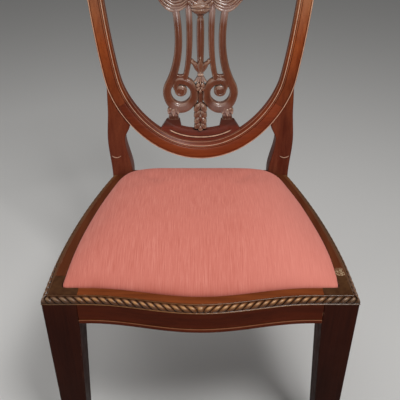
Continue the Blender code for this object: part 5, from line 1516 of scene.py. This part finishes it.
def splat_wood():
    """Carved wood with painted shade and old polish in its hollows, painted shade on its feet, painted
    reflection on its rims, painted sheen on upturned faces and in patches, and high points pale from wear and
    painted highlight.
    """
    shades = tones((70, 30, 16), (98, 46, 25), (120, 65, 37))
    paint = wood("splat_mahogany", shades, UPRIGHT, roughness=0.36, gloss=0.6, polish=0.15)
    # Painted reflection: greyer rims where the faces turn away from the front.
    rim = paint.ramp(paint.facing(0.0, -0.98, 0.2), (0.50, 0.0), (0.68, 0.50), (0.86, 0.25), (0.96, 0.0))
    paint.cover(rim, tone(142, 112, 92))
    # Painted sheen on faces that turn upwards.
    sheen = paint.ramp(paint.facing(0.0, -0.82, 0.57), (0.940, 0.0), (0.975, 0.45))
    paint.cover(sheen, tone(170, 146, 132))
    low = scroll_level(-1.12)
    collar = limits(COLLAR_BOTTOM, -0.001, 0.001) + limits(COLLAR_TOP, -0.006, -0.002)
    # Painted sheen in patches: ring bottoms, tops of the bars, the bell and the collars.
    painted_sheen_patches = (((0.014, 0.028, 0.058, 0.070), limits(low, -0.012, -0.002, 0.008, 0.016), 0.30),
              ((0.010, 0.018, 0.070, 0.080), limits(BAR_TOP, -0.034, -0.012, 0.0, 0.002), 0.48),
              ((0.000, 0.001, 0.012, 0.016), limits(scroll_level(1.0), -0.012, -0.006, 0.012, 0.018), 0.50),
              ((0.043, 0.048, 0.072, 0.078), collar, 0.60))
    for across, height, share in painted_sheen_patches:
        paint.cover(paint.times(patch(paint, across, height), share), tone(176, 150, 140))
    # Painted shade in the hollows, with old polish.
    shade_and_grime_in_hollows(paint, tone(24, 10, 6), reach=0.006)
    # High points pale from wear and painted highlight.
    rubbed_and_highlit(paint, tone(226, 194, 166), start=0.506, full=0.540)
    # Painted shade on the short feet under the scrolls.
    shaded_foot_height = limits(low, -0.040, -0.030) + limits(COLLAR_BOTTOM, -0.002, 0.0)
    foot = patch(paint, (0.030, 0.040, 0.090, 0.100), shaded_foot_height)
    paint.cover(paint.times(foot, 0.6), tone(64, 34, 24))
    return paint.done()


def base_wood():
    """Splat base: redder, with painted shade and old polish in its hollows, painted shade on its feet, and a
    bead pale with a painted highlight.
    """
    shades = tones((84, 34, 22), (108, 46, 31), (128, 60, 42))
    paint = wood("splat_base_mahogany", shades, ACROSS, roughness=0.40, gloss=0.1)
    # Painted shade in the hollows, with old polish.
    shade_and_grime_in_hollows(paint, tone(34, 14, 9), reach=0.008)
    # Painted shade on the feet.
    shaded_foot_height = limits(base_top(FOOT_X), -0.002, 0.003, 0.03, 0.04)
    foot = patch(paint, (0.038, 0.044, 0.090, 0.100), shaded_foot_height)
    paint.cover(paint.times(foot, 0.8), tone(74, 38, 27))
    # Bead pale with a painted highlight, painted shade at its edges, from the mesh's wear.
    worn_and_lit_parts(paint, tone(226, 186, 156), tone(40, 16, 10))
    return paint.done()


def rope_wood(name, axis):
    """Rope edge: brown, with painted highlights and wear on the lobes, painted shade and old polish in the
    gaps and towards the foot, and greyer over the legs.
    """
    shades = tones((58, 30, 14), (96, 54, 26), (126, 76, 38))
    paint = wood(name, shades, axis, roughness=0.30, gloss=0.32)
    over_legs = paint.ramp(paint.off_middle(), (0.205, 0.0), (0.225, 1.0))
    paint.cover(paint.times(over_legs, 0.5), tone(70, 50, 34))
    # Painted shade in the hollows, with old polish.
    shade_and_grime_in_hollows(paint, tone(20, 10, 6), reach=0.004)
    # Painted highlights with wear on the lobes, painted shade in the gaps and towards the foot, from the
    # mesh's wear.
    worn_and_lit_parts(paint, paint.mix(over_legs, tone(194, 142, 92), tone(142, 112, 84)), tone(24, 11, 6))
    paint.cover(paint.ramp(paint.facing(0.0, 0.0, 1.0), (0.965, 0.0), (0.990, 0.8)), tone(96, 52, 30))
    return paint.done()


def scuffed(paint, place):
    """Pale scratches in a small round spot."""
    spot = paint.ramp(paint.distance(place), (0.009, 1.0), (0.014, 0.0))
    scratches = paint.mottle(420.0, 4.0, (0.46, 0.0), (0.56, 0.8))
    paint.cover(paint.times(spot, scratches), tone(186, 164, 130))


def frame_wood(name, axis, shades, top, low=1.0, scuff=None):
    """Legs and rails: dark red sides with painted shade towards the floor, browner tops and nicked edges."""
    pale = tone(176, 132, 100)
    paint = wood(name, shades, axis, roughness=0.42, gloss=0.0, shine=0.04)
    # Painted shade towards the floor, down to low at the floor end.
    paint.shade(paint.ramp(paint.axis("Z"), (0.22, low), (0.42, 1.0)))
    streaks = paint.ramp(paint.noise(90.0, 4.0, grain_stretch(axis, 12.0)), (0.3, 0.0), (0.7, 0.5))
    up = paint.ramp(paint.facing(0.0, 0.0, 1.0), (0.55, 0.0), (0.95, 1.0))
    paint.cover(paint.times(up, paint.mottle(26.0, 4.0, (0.25, 0.75), (0.70, 1.0))),
                paint.mix(streaks, top, shades[0]))
    edges = paint.ramp(paint.edge(radius=0.0014), (0.02, 0.0), (0.10, 1.0))
    paint.cover(paint.times(edges, paint.mottle(110.0, 3.0, (0.56, 0.0), (0.68, 0.7))), pale)
    # On the front rail the mesh's wear paints a highlight on the bead and shade in its quirk.
    worn_and_lit_parts(paint, pale, tone(26, 10, 6))
    if scuff:
        scuffed(paint, scuff)
    return paint.done()


def plain_beech():
    shades = tones((150, 118, 84), (178, 146, 108), (200, 170, 132))
    return wood("beech", shades, ACROSS, roughness=0.6, gloss=0.0).done()


def plain_steel():
    """Steel of the block screws, brushed and a little tarnished."""
    paint = Paint("screw_steel", roughness=0.38, metallic=1.0)
    brushed = paint.noise(900.0, 2.0, grain_stretch(UPRIGHT, 8.0))
    paint.colour = paint.ramp(brushed, (0.35, tone(150, 148, 144)), (0.65, tone(186, 184, 180)))
    paint.cover(paint.mottle(160.0, 3.0, (0.5, 0.0), (0.75, 0.6)), tone(104, 84, 66))
    paint.bump(brushed, distance=0.00005)
    return paint.done()


def woven(name, deep, pale, pitch):
    """Plain weave of coarse yarn, ribbed both ways, with slubs."""
    paint = Paint(name, roughness=0.95)
    weave = paint.math('MAXIMUM', paint.ribs('X', pitch), paint.ribs('Y', pitch))
    paint.colour = paint.ramp(weave, (0.45, deep), (0.95, pale))
    paint.cover(paint.mottle(0.6 / pitch, 3.0, (0.35, 0.0), (0.70, 0.5)), deep)
    paint.bump(weave, distance=0.2 * pitch)
    return paint.done()


def salmon_fabric():
    """Salmon cloth with fine slubbed stripes running from front to back, painted shade with soiling low round
    the rim, and painted light towards the right.
    """
    deep, base, pale = tones((202, 111, 95), (211, 121, 105), (220, 134, 118))
    paint = Paint("salmon_fabric", roughness=0.9)
    stripes = paint.noise(820.0, 2.0, (1.0, 1.0 / 34.0, 1.0 / 34.0))
    slubs = paint.noise(520.0, 1.0, (1.0, 1.0 / 12.0, 1.0 / 12.0))
    weft = paint.noise(1500.0, 0.0, grain_stretch(ACROSS, 10.0))
    paint.colour = paint.ramp(stripes, (0.36, deep), (0.47, base), (0.56, base), (0.66, pale))
    paint.cover(paint.ramp(slubs, (0.60, 0.0), (0.72, 0.6)), pale)
    paint.cover(paint.ramp(weft, (0.30, 0.18), (0.5, 0.0)), deep)
    paint.cover(paint.mottle(9.0, 2.0, (0.3, 0.0), (0.75, 0.08)), deep)
    # Darker red low round the rim, where the cloth turns down: painted shade, with soiling.
    low = paint.ramp(paint.axis("Z"), (FRAME_TOP, 0.75), (FRAME_TOP + 0.014, 0.0))
    paint.cover(paint.times(low, paint.mottle(14.0, 3.0, (0.35, 0.35), (0.60, 1.0))), tone(172, 84, 66))
    # Paler towards the right: painted light.
    paint.cover(paint.ramp(paint.axis("X"), (0.06, 0.0), (0.17, 0.45)), tone(230, 141, 126))
    paint.set("Sheen Weight", 0.08)
    paint.set("Sheen Roughness", 0.5)
    paint.bump(stripes, distance=0.00015)
    return paint.done()


# Stage

def add_camera():
    data = bpy.data.cameras.new("camera")
    data.sensor_width = SENSOR_WIDTH
    data.lens = SENSOR_WIDTH * FOCAL_PIXELS / PICTURE_WIDTH
    camera = link("camera", data)
    camera.location = CAMERA_PLACE
    camera.rotation_euler = (math.radians(90.0 - CAMERA_PITCH), 0.0, 0.0)
    bpy.context.scene.camera = camera


def add_area_light(name, place, aim, size, power):
    data = bpy.data.lights.new(name, 'AREA')
    data.size = size
    data.energy = power
    lamp = link(name, data)
    lamp.location = place
    lamp.rotation_euler = (Vector(aim) - Vector(place)).to_track_quat('-Z', 'Y').to_euler()


def add_stage():
    mesh = bpy.data.meshes.new("floor")
    corners = [(FLOOR_REACH * x, FLOOR_REACH * y, 0.0) for x, y in ((-1, -1), (1, -1), (1, 1), (-1, 1))]
    mesh.from_pydata(corners, [], [(0, 1, 2, 3)])
    paint = Paint("floor", roughness=0.9)
    paint.colour = FLOOR_COLOUR
    mesh.materials.append(paint.done())
    floor = link("floor", mesh)
    world = bpy.data.worlds.new("studio")
    world.use_nodes = True
    background = world.node_tree.nodes["Background"]
    background.inputs["Color"].default_value = ROOM_COLOUR
    background.inputs["Strength"].default_value = ROOM_LIGHT
    bpy.context.scene.world = world
    add_area_light("key", (0.60, -1.0, 2.3), (0.0, -0.05, 0.45), size=0.6, power=28.0)
    add_area_light("top", (-0.5, 0.35, 2.3), (0.0, 0.0, 0.45), size=1.4, power=10.0)
    add_area_light("front", (0.25, -2.5, 1.25), (0.0, 0.2, 0.80), size=0.4, power=6.0)
    add_area_light("left", (-1.8, -0.7, 0.60), (0.0, 0.2, 0.70), size=0.8, power=5.0)


# Dressing

def paint_nodes(material, *names):
    for name in names:
        nodes[name].data.materials.clear()
        nodes[name].data.materials.append(material)


def shield_woods():
    """Wood of the shield's rails and wood of its posts."""
    # Painted shade and sheen by height: height, share of light, and green and blue factors.
    across_light_by_height = [(0.51, 0.74, 0.90, 0.96), (0.56, 0.64, 0.80, 0.82), (0.62, 0.60, 0.78, 0.75),
                      (0.85, 1.0, 1.07, 0.95)]
    upright_light_by_height = [(0.50, 0.46, 0.92, 1.40), (0.58, 0.46, 0.88, 1.15), (0.64, 0.57, 0.84, 0.78),
                       (0.74, 0.80, 0.83, 0.62), (0.84, 1.0, 1.45, 2.00), (0.92, 1.0, 1.07, 0.95)]
    across_shades = tones((108, 40, 15), (148, 65, 27), (180, 94, 44))
    upright_shades = tones((108, 47, 26), (148, 73, 40), (180, 102, 58))
    across = band_wood("shield_mahogany_across", ACROSS, across_shades, across_light_by_height,
                       gloss=0.15, shine=0.2, left=0.76)
    upright = band_wood("shield_mahogany_upright", UPRIGHT, upright_shades, upright_light_by_height,
                        gloss=0.04, shine=0.05)
    return across, upright


def add_wooden_pieces():
    """Shield with its posts and splat, and the seat's rope edge."""
    across, upright = shield_woods()
    rope = rope_wood("rope_mahogany_along", ALONG)
    add_shield_rails(across)
    for place, sign in (("left", -1), ("right", 1)):
        add_post(f"rear_post_{place}", sign, upright)
        add_side_rope(f"rope_moulding_{place}", sign, rope)
    add_splat(splat_wood())
    add_splat_base(base_wood())
    add_front_rope(rope_wood("rope_mahogany_across", ACROSS))


def dress_seat_rails():
    """Front rail, and the CAD nodes that stay: legs, other rails, corner blocks, screws and seat frame."""
    rail_shades = tones((60, 21, 9), (78, 29, 13), (96, 39, 19))
    leg_shades = tones((38, 13, 7), (52, 19, 10), (66, 27, 15))
    side_top = tone(100, 53, 30)
    leg = frame_wood("leg_mahogany", UPRIGHT, leg_shades, tone(84, 55, 33), low=0.6)
    left = frame_wood("side_rail_mahogany", ALONG, rail_shades, side_top)
    right = frame_wood("side_rail_mahogany_scuffed", ALONG, rail_shades, side_top, scuff=SCUFF)
    beech = plain_beech()
    steel = plain_steel()
    add_front_rail(frame_wood("front_rail_mahogany", ACROSS, rail_shades, tone(136, 70, 34)))
    paint_nodes(frame_wood("rear_rail_mahogany", ACROSS, rail_shades, tone(96, 50, 29)), "rear_rail")
    paint_nodes(beech, "seat_frame_front", "seat_frame_rear")
    for place, side_rail in (("left", left), ("right", right)):
        paint_nodes(leg, f"front_leg_{place}")
        paint_nodes(side_rail, f"side_rail_{place}")
        paint_nodes(beech, f"corner_block_front_{place}", f"corner_block_rear_{place}", f"seat_frame_{place}")
        paint_nodes(steel, *[f"block_screw_{rail}_{place}" for rail in SCREWED_RAILS])


def add_drop_in_seat():
    add_cover(salmon_fabric())
    add_hidden_cloths(woven("jute", *tones((128, 98, 62), (188, 154, 108)), pitch=0.0022),
                      woven("dust_cloth", *tones((14, 14, 15), (40, 40, 42)), pitch=0.0009))


add_camera()
add_stage()
add_wooden_pieces()
dress_seat_rails()
add_drop_in_seat()
bpy.context.scene.view_settings.view_transform = 'Standard'
